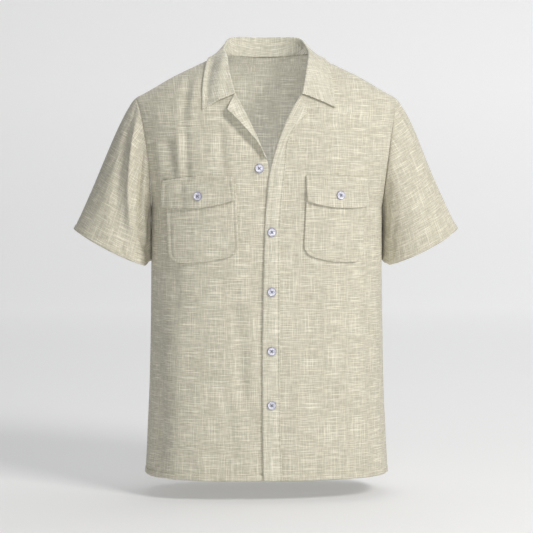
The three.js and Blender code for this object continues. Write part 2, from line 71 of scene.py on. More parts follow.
# Creases given as (x0, z0, x1, z1, width, depth): a trough where the depth is above 0
creases = {
    front: [
        (-176, -150, -166, -210, 8, 4), (-191, -160, -184, -212, 6, -2), (-158, -140, -154, -212, 6, -2),
        (-146, -128, -143, -212, 7, 3.6), (-138, -47, -150, -118, 8, 3), (-126, -48, -134, -112, 7, -1.8),
        (-155, -45, -166, -66, 5, 1.2), (-87, -122, -82, -195, 7, 3), (-82, -104, -20, -172, 11, 4.5),
        (-193, -440, -189, -700, 12, 7), (-158, -470, -158, -720, 15, -3),
        (-130, -560, -126, -740, 18, -2.5),
        (-54, -490, -48, -605, 10, 4.6), (-76, -585, -67, -680, 10, 3.4), (-32, -440, -32, -570, 7, -1.4),
        (-152, -214, -147, -264, 5, 1.5), (-163, -366, -160, -440, 9, 2), (-67, -400, -60, -475, 11, 3.2),
        (65, -92, 67, -124, 4, 4.5), (58, -148, 58, -214, 5, 1.6), (127, -450, 135, -530, 13, 1.4),
        (168, -400, 178, -640, 16, 3), (96, -560, 104, -740, 22, 2.5), (140, -90, 158, -200, 14, 2),
        (186, -215, 172, -330, 12, 2.4), (60, -390, 74, -560, 18, 1.5), (44, -600, 40, -740, 14, -1.6),
    ],
    back: [
        (-150, -150, -170, -420, 13, 6), (146, -140, 168, -400, 14, 6.5), (-60, -330, -74, -700, 17, 5.5),
        (70, -360, 62, -720, 18, 6), (4, -420, -2, -740, 20, -4.5), (-118, -110, -104, -230, 10, 4),
        (112, -96, 96, -240, 11, 4.5), (-30, -160, -22, -300, 12, 3), (34, -150, 40, -330, 11, 2.8),
        (-128, -480, -134, -700, 13, 4.5), (126, -500, 140, -690, 12, 4.2), (-10, -110, 8, -170, 18, 2),
    ],
}


def mix(a, b, t):
    return a + (b - a) * t


def smooth(start, end, v):
    t = np.clip((v - start) / (end - start), 0, 1)
    return t * t * (3 - 2 * t)


def signedPower(v, p):
    return np.sign(v) * np.abs(v) ** p


def unit(v):
    return v / np.maximum(np.linalg.norm(v, axis=-1, keepdims=True), 1e-9)


def hump(distance, width):
    return np.exp(-((distance / width) ** 2))


# Smooth curve through a table's rows, with no overshoot between them
def smoothTable(v, keys, values):
    keys, values = np.asarray(keys, float), np.asarray(values, float)
    gap = np.diff(keys)
    slope = np.diff(values) / gap
    inner = slope[:-1] * slope[1:]
    mean = np.where(inner > 0, 2 * inner / np.where(inner > 0, slope[:-1] + slope[1:], 1), 0)
    tangent = np.concatenate([slope[:1], mean, slope[-1:]])
    v = np.clip(v, keys[0], keys[-1])
    i = np.clip(np.searchsorted(keys, v) - 1, 0, len(keys) - 2)
    t = (v - keys[i]) / gap[i]
    ease = t * t * (3 - 2 * t)
    bend = t * (1 - t) * ((1 - t) * tangent[i] - t * tangent[i + 1])
    return mix(values[i], values[i + 1], ease) + gap[i] * bend


noiseTable = np.random.default_rng(11).uniform(-1, 1, (64, 64))


# Smooth noise from -1 to 1 with one lump for each unit
def softNoise(x, y):
    i, j = np.floor(x).astype(int), np.floor(y).astype(int)
    s, t = [f ** 3 * (f * (6 * f - 15) + 10) for f in (x - i, y - j)]
    corner = [noiseTable[(i + a) % 64, (j + b) % 64] for a, b in ((0, 0), (1, 0), (0, 1), (1, 1))]
    return mix(mix(corner[0], corner[1], s), mix(corner[2], corner[3], s), t)


# Shares from 0 to 1 along a length, closer together beside the ends that are named
def gradedShares(length, ends="both", step=None):
    run = np.linspace(0, length, 2000)
    near = np.zeros_like(run)
    if ends in ("both", "start"):
        near += np.exp(-(run / cloth["fineZone"]) ** 4)
    if ends in ("both", "end"):
        near += np.exp(-((length - run) / cloth["fineZone"]) ** 4)
    coarse, fine = 1 / (step or cloth["grid"]), 1 / cloth["gridFine"]
    density = mix(coarse, fine, np.clip(near, 0, 1))
    count = np.concatenate([[0], np.cumsum(density[1:] * np.diff(run))])
    return np.interp(np.linspace(0, count[-1], math.ceil(count[-1]) + 1), count, run) / length


# Levels run straight up to the underarm at -90, from -90 to 0 degrees up the armhole's lower half
# and from 0 to 90 degrees over the shoulder to its seam
def levelZ(level):
    below = body["underarmZ"] + level + 90
    return np.where(level < -90, below, armMidZ + armHalf * np.sin(np.radians(np.clip(level, -90, 0))))


def ridgeZ(x):
    t = np.abs(x) / body["neckX"]
    crown = body["neckCrown"] * (1 - t * t) + body["neckCrownExtra"] * (1 - t * t) ** 2
    rounded = body["shoulderRound"] * smooth(150, body["shoulderX"], np.abs(x))
    return np.where(t > 1, -body["shoulderSlope"] * (np.abs(x) - body["neckX"]) - rounded, crown)


def sectionAt(face, level):
    z = levelZ(level)
    depth = smoothTable(z, body["sectionZ"], body["frontDepth" if face == front else "backDepth"])
    rise = (1 + np.sin(np.radians(np.maximum(level, -90)))) / 2
    flare = (body["shoulderX"] - body["underarmX"]) * rise ** body["armholeFlare"]
    armholeX = body["underarmX"] + flare
    edgeX = np.where(level <= -90, smoothTable(z, body["sectionZ"], body["half"]), armholeX)
    cut = body["armholeDepth"] * np.cos(np.radians(np.clip(level, -90, 0))) / depth
    return z, depth, edgeX, np.arccos(np.clip(cut, 0, 1) ** (body["roundness"] / 2))


# Point of the plain body at a share of the turn from the middle, 0, to the side edge, 1
def bodyPoint(face, level, share):
    level, share = np.broadcast_arrays(np.asarray(level, float), np.asarray(share, float))
    z, depth, edgeX, end = sectionAt(face, level)
    p = 2 / body["roundness"]
    x = edgeX * signedPower(np.sin(share * end), p) / np.sin(end) ** p
    y = depth * signedPower(np.cos(share * end), p)
    boxy = body["frontSlopeRound" if face == front else "backSlopeRound"]
    k = 2 / mix(boxy, 2, smooth(body["neckX"], edgeX, np.abs(x)))
    over = np.radians(np.maximum(level, 0))
    up = np.abs(np.sin(over)) ** k
    out = signedPower(np.cos(over), k)
    z = np.where(level > 0, armMidZ + (ridgeZ(x) - armMidZ) * up, z)
    return np.stack([x, face * y * out, z], -1)


# Share of the turn at which a level passes a given x
def turnAt(face, level, x):
    end, edgeX = sectionAt(face, level)[3], sectionAt(face, level)[2]
    s = np.sin(end) * (np.minimum(np.abs(x), edgeX) / edgeX) ** (body["roundness"] / 2)
    return np.sign(x) * np.arcsin(np.minimum(s, 1)) / end


def bodyNormal(face, level, share):
    level, share = np.broadcast_arrays(np.asarray(level, float), np.asarray(share, float))
    along = bodyPoint(face, level, share + 0.004) - bodyPoint(face, level, share - 0.004)
    up = bodyPoint(face, np.minimum(level + 0.5, 90.5), share) - bodyPoint(face, level - 0.5, share)
    return unit(np.cross(along, up) * -face)


# Depth of a crease at a way along it, 0 to 1, and at a distance off its middle. It fades in from a
# share of its length before its start to a share after it, and fades out in the same way.
def creaseAt(way, off, width, depth, before, after):
    ends = smooth(-before, after, way) * (1 - smooth(1 - after, 1 + before, way))
    return depth * ends * hump(off, width)


def creaseDepth(face, x, z):
    depth = np.zeros_like(x)
    for x0, z0, x1, z1, width, deep in creases[face]:
        t = (z - z0) / (z1 - z0)
        depth += creaseAt(t, x - mix(x0, x1, t), width, deep, 0.25, 0.2)
    return depth


def drift(face, x, z):
    broad = softNoise(x / 46 + 7 * face, z / 88 + 3)
    small = softNoise(x / 19 + 21, z / 43 + 11 * face)
    return cloth["drift"] * (broad + 0.45 * small)


# Middle surface of a front or back with its normals, moved out by a lift
def clothSurface(face, level, share, lift=0):
    base, normal = bodyPoint(face, level, share), bodyNormal(face, level, share)
    edge = smooth(1, 0.93, np.abs(share)) * smooth(90, 75, level)
    x, z = base[..., 0], base[..., 2]
    out = lift + edge * (drift(face, x, z) - creaseDepth(face, x, z))
    return base + normal * out[..., None], normal


# Level at which the front, or either face seen from above, passes given places
def levelWhere(height, target, low):
    lo, hi = np.full(target.shape, float(low)), np.full(target.shape, 90.0)
    for _ in range(32):
        middle = (lo + hi) / 2
        under = height(middle) < target
        lo, hi = np.where(under, middle, lo), np.where(under, hi, middle)
    return (lo + hi) / 2


def levelOnFront(x, z):
    x, z = np.broadcast_arrays(np.asarray(x, float), np.asarray(z, float))
    height = lambda level: bodyPoint(front, level, turnAt(front, level, x))[..., 2]
    return np.where(z <= body["underarmZ"], z - body["underarmZ"] - 90, levelWhere(height, z, -90))


def layerSurface(x, z, lift):
    level = levelOnFront(x, z)
    return clothSurface(front, level, turnAt(front, level, np.asarray(x, float)), lift)


def pointFromAbove(x, y, lift):
    face = front if y < 0 else back
    inward = lambda level: -np.abs(bodyPoint(face, level, turnAt(face, level, x))[..., 1])
    level = levelWhere(inward, np.asarray(-abs(y), float), 0)
    return clothSurface(face, level, turnAt(face, level, np.asarray(x, float)), lift)[0]


# Running distance along one axis of a grid, with weights for x, y and z
def runs(points, axis, weights=(1, 1, 1)):
    step = np.linalg.norm(np.diff(points, axis=axis) * np.array(weights), axis=-1)
    start = np.zeros_like(np.take(step, [0], axis=axis))
    return np.concatenate([start, np.cumsum(step, axis=axis)], axis=axis)


def gridNormals(points, ring=False):
    if ring:
        along = np.roll(points, -1, 1) - np.roll(points, 1, 1)
    else:
        along = np.gradient(points, axis=1)
    return unit(np.cross(along, np.gradient(points, axis=0)))


# Shape of a turned or stitched edge at a distance from it: raised up to the stitches, then a groove
def turnedEdge(distance, width, height):
    raised = height * (1 - smooth(width - 1.4, width + 0.9, distance))
    return raised - cloth["grooveDepth"] * hump(distance - width, cloth["grooveWidth"])


# Inner skin of a hem, whose turning ends just past its stitches
def turnedInside(distance, width, height):
    return cloth["thick"] / 2 + height * (1 - smooth(width - 1, width + 0.5, distance))


def seamDip(distance):
    return -cloth["seamDip"] * hump(distance, cloth["seamWidth"])


def puckers(along, distance, width):
    lumps = softNoise(along / cloth["puckerLength"], distance / 14)
    return cloth["pucker"] * lumps * hump(distance - width, cloth["puckerWidth"])


# Closed shell round a grid: outer and inner are how far each skin lies from the middle surface
def clothShell(name, middle, normal, outer, inner, uv, material, ring=False):
    rows, cols = middle.shape[:2]
    outer, inner = [np.broadcast_to(v, (rows, cols))[..., None] for v in (outer, inner)]
    index = np.arange(rows * cols).reshape(rows, cols)
    if ring:
        index = np.hstack([index, index[:, :1]])
    corners = [(slice(None, -1), slice(None, -1)), (slice(None, -1), slice(1, None)),
               (slice(1, None), slice(1, None)), (slice(1, None), slice(None, -1))]
    quads = np.stack([index[c].ravel() for c in corners], 1)
    quadUv = np.stack([uv[c].reshape(-1, 2) for c in corners], 1)
    faces, faceUv = [quads, quads[:, ::-1] + rows * cols], [quadUv, quadUv[:, ::-1]]

    # The rim is rounded by one row of points between the two skins. Each loop walks round a rim
    # and ends where it began.
    width, skinSize = index.shape[1], rows * cols
    bottom = [(0, c) for c in range(width)]
    top = [(rows - 1, c) for c in range(width - 1, -1, -1)]
    if ring:
        loops = [bottom, top]
    else:
        right = [(r, cols - 1) for r in range(1, rows - 1)]
        left = [(r, 0) for r in range(rows - 2, -1, -1)]
        loops = [bottom + right + top + left]
    rims, base = [], 2 * skinSize
    for loop in loops:
        r, c = np.array(loop).T
        sr, sc = r[:-1], c[:-1] % cols
        nextC = sc if ring else np.clip(sc, 1, cols - 2)
        away = unit(middle[sr, sc] - middle[np.clip(sr, 1, rows - 2), nextC])
        half, offset = (outer[sr, sc] + inner[sr, sc]) / 2, (outer[sr, sc] - inner[sr, sc]) / 2
        rims.append(middle[sr, sc] + away * half * cloth["rimRound"] + normal[sr, sc] * offset)
        here, skin = base + np.arange(len(sr)), sr * cols + sc
        there, nextSkin = np.roll(here, -1), np.roll(skin, -1)
        spotUv, nextUv = uv[r[:-1], c[:-1]], uv[r[1:], c[1:]]
        faces += [np.stack([nextSkin, skin, here, there], 1),
                  np.stack([there, here, skin + skinSize, nextSkin + skinSize], 1)]
        faceUv += [np.stack([nextUv, spotUv, spotUv, nextUv], 1)] * 2
        base += len(sr)
    skins = [(middle + normal * outer).reshape(-1, 3), (middle - normal * inner).reshape(-1, 3)]
    points, faces, faceUv = [np.concatenate(part) for part in (skins + rims, faces, faceUv)]
    a, b, c, d = [points[faces[:, i]] for i in range(4)]
    if np.sum(a * np.cross(b, c)) + np.sum(a * np.cross(c, d)) < 0:
        faces, faceUv = faces[:, ::-1], faceUv[:, ::-1]
    return addPiece(name, points, faces.tolist(), material, faceUv)


def newMesh(name, points, faces):
    mesh = bpy.data.meshes.new(name)
    mesh.from_pydata((np.asarray(points) * mm).tolist(), [], faces)
    mesh.polygons.foreach_set("use_smooth", [True] * len(mesh.polygons))
    return mesh


def addObject(name, data):
    added = bpy.data.objects.new(name, data)
    bpy.context.scene.collection.objects.link(added)
    return added


def asPiece(name, mesh):
    piece = addObject(name, mesh)
    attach(piece, "root")
    return piece


def addPiece(name, points, faces, material, faceUv=None):
    mesh = newMesh(name, points, faces)
    if faceUv is not None:
        mesh.uv_layers.new(name="grain").data.foreach_set("uv", (np.asarray(faceUv) * mm).ravel())
    mesh.materials.append(material)
    return asPiece(name, mesh)


# sRGB hex to linear
def colour(text):
    channels = [int(text[i:i + 2], 16) / 255 for i in (1, 3, 5)]
    return [c / 12.92 if c <= 0.04045 else ((c + 0.055) / 1.055) ** 2.4 for c in channels] + [1.0]


# Adds a shader node with its settings, which are attributes or inputs, and its links
def addNode(tree, kind, settings=None, links=None):
    node = tree.nodes.new("ShaderNode" + kind)
    for key, value in (settings or {}).items():
        if key == "stops":
            ramp = node.color_ramp.elements
            while len(ramp) < len(value):
                ramp.new(0.5)
            for element, (place, shade) in zip(ramp, value):
                element.position = place
                element.color = colour(shade) if isinstance(shade, str) else (shade, shade, shade, 1)
        elif isinstance(key, str) and hasattr(node, key):
            setattr(node, key, value)
        else:
            node.inputs[key].default_value = value
    for key, output in (links or {}).items():
        tree.links.new(output, node.inputs[key])
    return node


def newMaterial(name):
    material = bpy.data.materials.new(name)
    material.use_nodes = True
    tree = material.node_tree
    tree.nodes.clear()
    return material, tree


linen = {
    # undyed flax, faintly green-grey: thread in shade, plain, and slubs; two plies look paler
    "single": ("#a8a390", "#c2bdab", "#e9e4d2"), "doubled": ("#afab98", "#c9c5b3", "#efeada"),
    # Each row of threads: its lumps' length crosswise and upwards in mm, the noise from which a
    # thread begins to be pale and from which it is all pale, and its share. They are drawn
    # coarser than real threads, which are too fine to show from here.
    "threads": [(44, 1.15, 0.5, 0.76, 0.46), (1.15, 60, 0.52, 0.78, 0.36), (14, 1.1, 0.2, 0.8, 0.28),
                (1.1, 14, 0.2, 0.8, 0.22), (34, 26, 0.3, 0.7, 0.04)],
    "toneStops": (0.0, 0.3, 0.85),  # pale share at which each of the three tones is reached
    "roughness": 0.93, "sheen": 0.2, "bump": 0.35, "bumpHeight": 0.0012,
}


# Slub linen, plain woven from uneven flax yarn: dull, with broken pale streaks both ways
def slubLinen(name, shift, tones):
    material, tree = newMaterial(name)
    place = addNode(tree, "TexCoord").outputs["UV"]
    height = None
    for row, (crosswise, upwards, start, full, share) in enumerate(linen["threads"]):
        scaled = addNode(tree, "Mapping", {
            "Scale": (1000 / crosswise, 1000 / upwards, 1),
            "Location": (7.3 * row + shift, 4.1 * row - shift, 0),
        }, {"Vector": place})
        lumps = addNode(tree, "TexNoise", {
            "noise_dimensions": "2D", "Scale": 1.0, "Detail": 1.0, "Roughness": 0.5,
        }, {"Vector": scaled.outputs[0]})
        thick = addNode(tree, "MapRange", {
            "interpolation_type": "SMOOTHSTEP", "From Min": start, "From Max": full,
        }, {"Value": lumps.outputs["Fac"]})
        links = {0: thick.outputs[0]} if height is None else {0: thick.outputs[0], 2: height}
        height = addNode(tree, "Math", {
            "operation": "MULTIPLY_ADD", 1: share, 2: 0.0,
        }, links).outputs[0]
    stops = list(zip(linen["toneStops"], tones))
    tint = addNode(tree, "ValToRGB", {"stops": stops}, {"Fac": height})
    bump = addNode(tree, "Bump", {
        "Strength": linen["bump"], "Distance": linen["bumpHeight"],
    }, {"Height": height})
    surface = addNode(tree, "BsdfPrincipled", {
        "Roughness": linen["roughness"], "IOR": 1.45, "Specular IOR Level": 0.25,
        "Sheen Weight": linen["sheen"], "Sheen Roughness": 0.5,
    }, {"Base Color": tint.outputs[0], "Normal": bump.outputs[0]})
    addNode(tree, "OutputMaterial", None, {"Surface": surface.outputs[0]})
    return material


# Spun polyester sewing thread: matt, a shade paler than the cloth
def sewingThread(name, shade):
    material, tree = newMaterial(name)
    place = addNode(tree, "TexCoord").outputs["Object"]
    twist = addNode(tree, "TexNoise", {"Scale": 2500.0, "Detail": 1.0}, {"Vector": place})
    tint = addNode(tree, "MixRGB", {"Color1": colour(shade[0]), "Color2": colour(shade[1])},
                   {"Fac": twist.outputs["Fac"]})
    surface = addNode(tree, "BsdfPrincipled", {
        "Roughness": 0.75, "IOR": 1.5, "Sheen Weight": 0.15,
    }, {"Base Color": tint.outputs[0]})
    addNode(tree, "OutputMaterial", None, {"Surface": surface.outputs[0]})
    return material


# Cast polyester with pearl filler, turned and polished: glossy, with pale lavender clouds
def pearlPolyester(name, roughness, stops):
    material, tree = newMaterial(name)
    place = addNode(tree, "TexCoord").outputs["Object"]
    clouds = addNode(tree, "TexNoise", {
        "Scale": 260.0, "Detail": 3.0, "Distortion": 1.2,
    }, {"Vector": place})
    shades = addNode(tree, "ValToRGB", {"stops": stops}, {"Fac": clouds.outputs["Fac"]})
    surface = addNode(tree, "BsdfPrincipled", {
        "Roughness": roughness, "IOR": 1.56, "Coat Weight": 0.3, "Coat Roughness": 0.1,
    }, {"Base Color": shades.outputs[0]})
    addNode(tree, "OutputMaterial", None, {"Surface": surface.outputs[0]})
    return material


linenBody = slubLinen("slubLinenBody", 0.0, linen["single"])
linenTrim = slubLinen("slubLinenPockets", 4.3, linen["single"])
linenDoubled = slubLinen("slubLinenDoubled", 8.1, linen["doubled"])
seamThread = sewingThread("spunPolyesterThread", ("#cfc8ae", "#ebe6d2"))
buttonThread = sewingThread("buttonThread", ("#5d5f77", "#8487a0"))
buttonPearl = pearlPolyester(
    "pearlPolyester", 0.25, [(0.32, "#a6a4b8"), (0.5, "#cdccd8"), (0.68, "#e9e8ef")])
buttonEdgeShade = pearlPolyester(  # turned and duller; its darker colour round the rim is painted shade
    "pearlPolyesterShadedEdge", 0.4, [(0.35, "#6e6c86"), (0.6, "#8f8da6")])
print("materials made")

stitchLines = []  # (points, normals), each a row of stitches on top of the cloth


# Keeps a line of stitches: where a grid's outer skin lies at a distance from one of its edges
def stitchAlong(skin, normal, distance, at, axis, trim=0):
    fraction = []
    picks = range(trim, skin.shape[1 - axis] - trim)
    for k in picks:
        line = np.take(distance, k, axis=1 - axis)
        order = slice(None) if line[-1] > line[0] else slice(None, None, -1)
        fraction.append(np.interp(at, line[order], np.arange(len(line))[order]))
    low = np.clip(np.floor(fraction).astype(int), 0, skin.shape[axis] - 2)
    t = (np.array(fraction) - low)[:, None]
    other = np.array(picks)
    pick = (lambda grid, i: grid[i, other]) if axis == 0 else (lambda grid, i: grid[other, i])
    point, out = [mix(pick(grid, low), pick(grid, low + 1), t) for grid in (skin, normal)]
    stitchLines.append((point, unit(out)))


panel = {
    "hemWidth": 10, "hemRaise": 1.0, "hemGroove": 0.9, "hemGrooveWidth": 1.7, "hemInside": 1.0,
    "sideRaise": 0.25, "sideAllowance": 5,  # the seam allowance shows through beside the side seam
    "underlapFrom": 20, "underlapTo": 46,
    "overArm": 330, "frontAcross": 245, "backAcross": 165,  # lengths that the points are spread over
    "hemWave": 1.3,  # how far the hem swings in and out
}
# Front edges from the hem up, as (x, z) on the panel's own side
leftEdge = [(-11, -728), (-13, -600), (-12, -400), (-9.5, -305), (-3.5, -220), (-1.5, -204), (10.5, -160),
            (24.5, -124), (43, -88), (58, -66), (72, -33), (78, -10), (79, 0)]
rightEdge = [(-15, -728), (-15, -238), (4.5, -216), (5.5, -200), (11, -177), (27, -143.5), (44, -109),
             (62, -70), (72, -35), (78, -10), (79, 0)]


def bodyLevels():
    drop = body["underarmZ"] - body["hemZ"]
    below = -90 - drop * (1 - gradedShares(drop, "start"))
    over = -90 + 180 * gradedShares(panel["overArm"], "end")
    return np.concatenate([below[:-1], over])


# Shares of the turn that lie along the cloth as the marks do, from a start to the side edge
def spreadShares(face, level, start, marks):
    tries = np.linspace(0, 1, 80)
    shares = np.zeros((len(level), len(marks)))
    for i, (one, begin) in enumerate(zip(level, start)):
        guess = mix(begin, 1, tries)
        run = runs(bodyPoint(face, one, guess), 0)
        shares[i] = np.interp(marks * run[-1], run, guess)
    return shares


# Height along the grain: level with z, and longer where the cloth slopes back to the shoulder
def grainHeight(face, level, z):
    line = bodyPoint(face, level, turnAt(face, level, body["grainLineX"]))
    run = runs(line, 0, (0, 1, 1))
    beyond = np.maximum(z - line[-1, 2], 0) * body["grainStretch"]
    return np.interp(z, line[:, 2], run) + beyond


def hemWave(x, z, face):
    low = 1 - smooth(0, 120, z - body["hemZ"])
    return panel["hemWave"] * low * softNoise(x / 42 + 13 * face, z / 300 + 5)


def panelSkins(middle, level):
    fromHem, across = runs(middle, 0), runs(middle, 1)
    toShoulder, toSide = fromHem[-1:] - fromHem, across[:, -1:] - across
    width = panel["hemWidth"]
    armDepth = mix(1, 0.3, smooth(10, 60, level))[:, None]
    outer = cloth["thick"] / 2 + turnedEdge(fromHem, width, panel["hemRaise"])
    outer -= panel["hemGroove"] * hump(fromHem - width, panel["hemGrooveWidth"])
    outer += panel["sideRaise"] * hump(toSide - panel["sideAllowance"], 4) + armDepth * seamDip(toSide)
    outer += seamDip(toShoulder) + puckers(across, fromHem, width)
    return outer, turnedInside(fromHem, width, panel["hemInside"]), fromHem, armDepth


def makeFront(name, side, edgeRows, shift):
    level = bodyLevels()
    x, z = np.array(edgeRows, float).T
    edgeLevel = levelOnFront(x, z)
    innerX = smoothTable(level, edgeLevel, x)
    marks = gradedShares(panel["frontAcross"])
    shares = spreadShares(front, level, turnAt(front, level, innerX), marks)
    middle, normal = clothSurface(front, level[:, None], side * shares)
    x, z = middle[..., 0], middle[..., 2]
    if side < 0:  # the right front runs in under the left one
        under = smooth(panel["underlapTo"], panel["underlapFrom"], -x)
        dip = under * smooth(-15, -30, level)[:, None]
        middle = middle - normal * (cloth["layer"] * dip)[..., None]
    middle = middle + normal * hemWave(x, z, front)[..., None]
    outer, inner, fromHem, _ = panelSkins(middle, level)
    grain = np.stack([side * (runs(middle, 1, (1, 1, 0)) + innerX[:, None]) + shift,
                      grainHeight(front, level, middle[..., 2])], -1)
    skin = middle + normal * outer[..., None]
    stitchAlong(skin, normal, fromHem, panel["hemWidth"], 0, 2)
    return clothShell(name, middle, normal, outer, inner, grain, linenBody)


def makeBack(name, shift):
    level = bodyLevels()
    neckX, napeY = body["neckX"], body["napeY"]
    neckXs = neckX * gradedShares(neckX, "none")
    neckY = napeY * np.sqrt(np.clip(1 - (neckXs / neckX) ** 2, 0, 1))
    inward = lambda one: -bodyPoint(back, one, turnAt(back, one, neckXs))[..., 1]
    topLevel = levelWhere(inward, -neckY, 0)
    marks = gradedShares(panel["backAcross"], "end")
    outerShares = spreadShares(back, level, turnAt(back, level, neckX), marks)
    own = np.where(level > 0, level, 0)[:, None] * topLevel / 90 + np.minimum(level, 0)[:, None]
    neckShares = turnAt(back, own, np.broadcast_to(neckXs, own.shape))
    ownLevel = np.hstack([own[:, :-1], np.broadcast_to(level[:, None], outerShares.shape)])
    shares = np.hstack([neckShares[:, :-1], outerShares])
    ownLevel = np.hstack([ownLevel[:, :0:-1], ownLevel])
    shares = np.hstack([-shares[:, :0:-1], shares])
    middle, normal = clothSurface(back, ownLevel, shares)
    middle = middle + normal * hemWave(middle[..., 0], middle[..., 2], back)[..., None]
    outer, inner, fromHem, armDepth = panelSkins(middle, level)
    outer += armDepth * seamDip(runs(middle, 1))
    across = runs(middle, 1, (1, 1, 0))
    half = shares.shape[1] // 2
    grain = np.stack([across - across[:, half:half + 1] + shift,
                      grainHeight(back, level, middle[..., 2])], -1)
    skin = middle + normal * outer[..., None]
    stitchAlong(skin, normal, fromHem, panel["hemWidth"], 0, 2)
    return clothShell(name, middle, normal, outer, inner, grain, linenBody)


backPanel = makeBack("back_panel", 900)
frontLeft = makeFront("front_left_panel", 1, leftEdge, 0)
frontRight = makeFront("front_right_panel", -1, rightEdge, 2100)
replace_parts(backPanel, "back")
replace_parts(frontLeft, "front_left")
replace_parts(frontRight, "front_right")
print("back and fronts made")

# Front band on the left front, whose top is turned out, and the facing that shows on the right
# front. Rows of (x0, z0, x1, z1) give the folded edge and the stitched or free one.
strip = {
    "width": 27, "gridAlong": 3.2, "gridAcross": 2.2,
    "bandStitch": 5, "edgeRaise": 0.7, "foldInside": 5,
    "tuckAt": 3.4, "tuckDepth": 1.9, "tuckWidth": 1.5,  # the seam line inside the band's free edge
    "freeLift": 7.5,  # how far the lapel's free edge stands off
}
bandRows = [(-11.5, -728, 18.5, -728), (-13.2, -640, 14.5, -640), (-13.5, -500, 13.3, -500),
            (-12, -400, 13.3, -400), (-9.5, -305, 13.6, -305), (-3.5, -220, 20, -220),
            (-1.2, -203, 23, -195), (10.8, -160, 26, -160), (24.8, -124, 42, -127),
            (40, -94, 58, -111), (50.5, -78, 64, -104.5)]
facingRows = [(-9.2, -181, -12, -178), (-18.5, -161, -22.5, -156), (-27.5, -142.5, -35.5, -141),
              (-37.5, -122, -50, -125), (-48, -100.5, -64.5, -110), (-61.5, -72, -73, -102)]


# A strip on the front whose first edge is folded round the panel's own edge
def makeStrip(name, rows, lift, freeLift, shift, stitched):
    rows = np.array(rows, float)
    along = np.concatenate([[0], np.cumsum(np.hypot(np.diff(rows[:, 0]), np.diff(rows[:, 1])))])
    t = along[-1] * gradedShares(along[-1], "both", strip["gridAlong"])
    x0, z0, x1, z1 = [smoothTable(t, along, column)[:, None] for column in rows.T]
    across = gradedShares(strip["width"], "both", strip["gridAcross"])
    if stitched:  # more points beside the tuck
        tuck = 1 - strip["tuckAt"] / strip["width"] + np.linspace(-1, 1, 7) * 0.1
        across = np.unique(np.concatenate([across, tuck]))
    across = across[None, :]
    top, topNormal = layerSurface(mix(x0, x1, across), mix(z0, z1, across), 0)
    topLift = lift + freeLift * smooth(0.15, 1, across) * np.ones_like(t)[:, None]
    top = top + topNormal * topLift[..., None]
    # the folded edge: a half turn round the panel's edge, then a short return inside
    edge, edgeNormal = layerSurface(x0, z0, 0)
    outward = unit(edge - layerSurface(mix(x0, x1, 0.25), mix(z0, z1, 0.25), 0)[0])
    turn = np.radians(np.linspace(-90, 75, 9))[None, :]
    fold = edge + outward * (lift * np.cos(turn) * 0.9)[..., None]
    fold = fold + edgeNormal * (lift * np.sin(turn))[..., None]
    turnedIn = strip["foldInside"] * np.array([1, 0.6, 0.25])
    inside = edge + edgeNormal * -lift - outward * turnedIn[None, :, None]
    middle = np.concatenate([inside, fold, top], 1)
    normal = gridNormals(middle)
    if np.sum(normal[:, -1] * topNormal[:, -1]) < 0:
        normal = -normal
    reach, down = runs(middle, 1), runs(middle, 0)
    first = inside.shape[1] + fold.shape[1]  # the column where the flat part begins
    flat, toFree = reach - reach[:, first:first + 1], reach[:, -1:] - reach
    grain = np.stack([flat + shift, down], -1)
    if stitched:
        raised = turnedEdge(np.maximum(flat, 0), strip["bandStitch"], strip["edgeRaise"] * 0.4)
        outer = cloth["thick"] / 2 + (raised + puckers(down, flat, strip["bandStitch"]))
        outer -= strip["tuckDepth"] * hump(toFree - strip["tuckAt"], strip["tuckWidth"])
        skin = middle + normal * outer[..., None]
        for distance, at in ((flat, strip["bandStitch"]), (toFree, strip["tuckAt"] + 1.5)):
            stitchAlong(skin[:, first:], normal[:, first:], distance[:, first:], at, 1, 2)
    else:
        outer = cloth["thick"] / 2 + turnedEdge(toFree, 3, strip["edgeRaise"] * 0.6)
    return clothShell(name, middle, normal, outer, cloth["thick"] / 2, grain, linenDoubled)


band = makeStrip("front_band", bandRows, cloth["layer"], 0, 300, True)
facing = makeStrip("lapel_facing", facingRows, cloth["layer"], strip["freeLift"], 700, False)
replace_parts(band, "placket")
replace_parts(facing, "facing_right")
print("band and facing made")

sleeve = {
    "length": 225, "grid": 3.6, "turnStep": 2.75,
    "cuffOuter": (335.5, -302.5), "cuffInner": (203, -369), "cuffDepth": 62, "cuffSag": 5,
    "cuffPull": 11,
    # directions in which it leaves the armhole and comes to the cuff, as (x, z)
    "leaveTop": (0.78, -0.63), "leaveUnder": (0.05, -1), "leaveForward": 0.18,
    "arriveTop": (0.46, -0.888), "arriveUnder": (0.03, -1),
    "hemWidth": 9, "hemRaise": 0.8, "hemInside": 0.9, "seamStart": 0.9,
    "drift": 1.1, "smallDrift": 0.5,  # how far it wanders from its plain form
    # creases as (turn0, way0, turn1, way1, width, depth): the turn goes from the top, 0, over the
    # front, 90, to the underarm, 180, and the way from the armhole, 0, to the cuff, 1
    "right": [(56, 0.12, 106, 0.7, 9, -8.5), (44, 0.25, 84, 0.8, 13, 4.5), (88, 0.08, 142, 0.75, 10, 10),
              (30, 0.02, 44, 0.22, 6, 1.6), (72, 0.02, 76, 0.2, 5, 1.5), (150, 0.1, 156, 0.9, 9, 3),
              (92, 0.6, 104, 1.05, 7, 2.2), (250, 0.1, 262, 0.9, 14, 4), (215, 0.1, 205, 0.8, 12, 4),
              (300, 0.2, 296, 0.8, 14, 2)],
    "left": [(118, 0.02, 150, 0.9, 13, 1.0), (96, 0.05, 112, 0.6, 10, -1.0), (74, 0.2, 66, 0.8, 14, 1.8),
             (246, 0.1, 258, 0.9, 14, 4), (212, 0.1, 204, 0.8, 12, 3.5), (298, 0.2, 305, 0.85, 14, 2)],
}


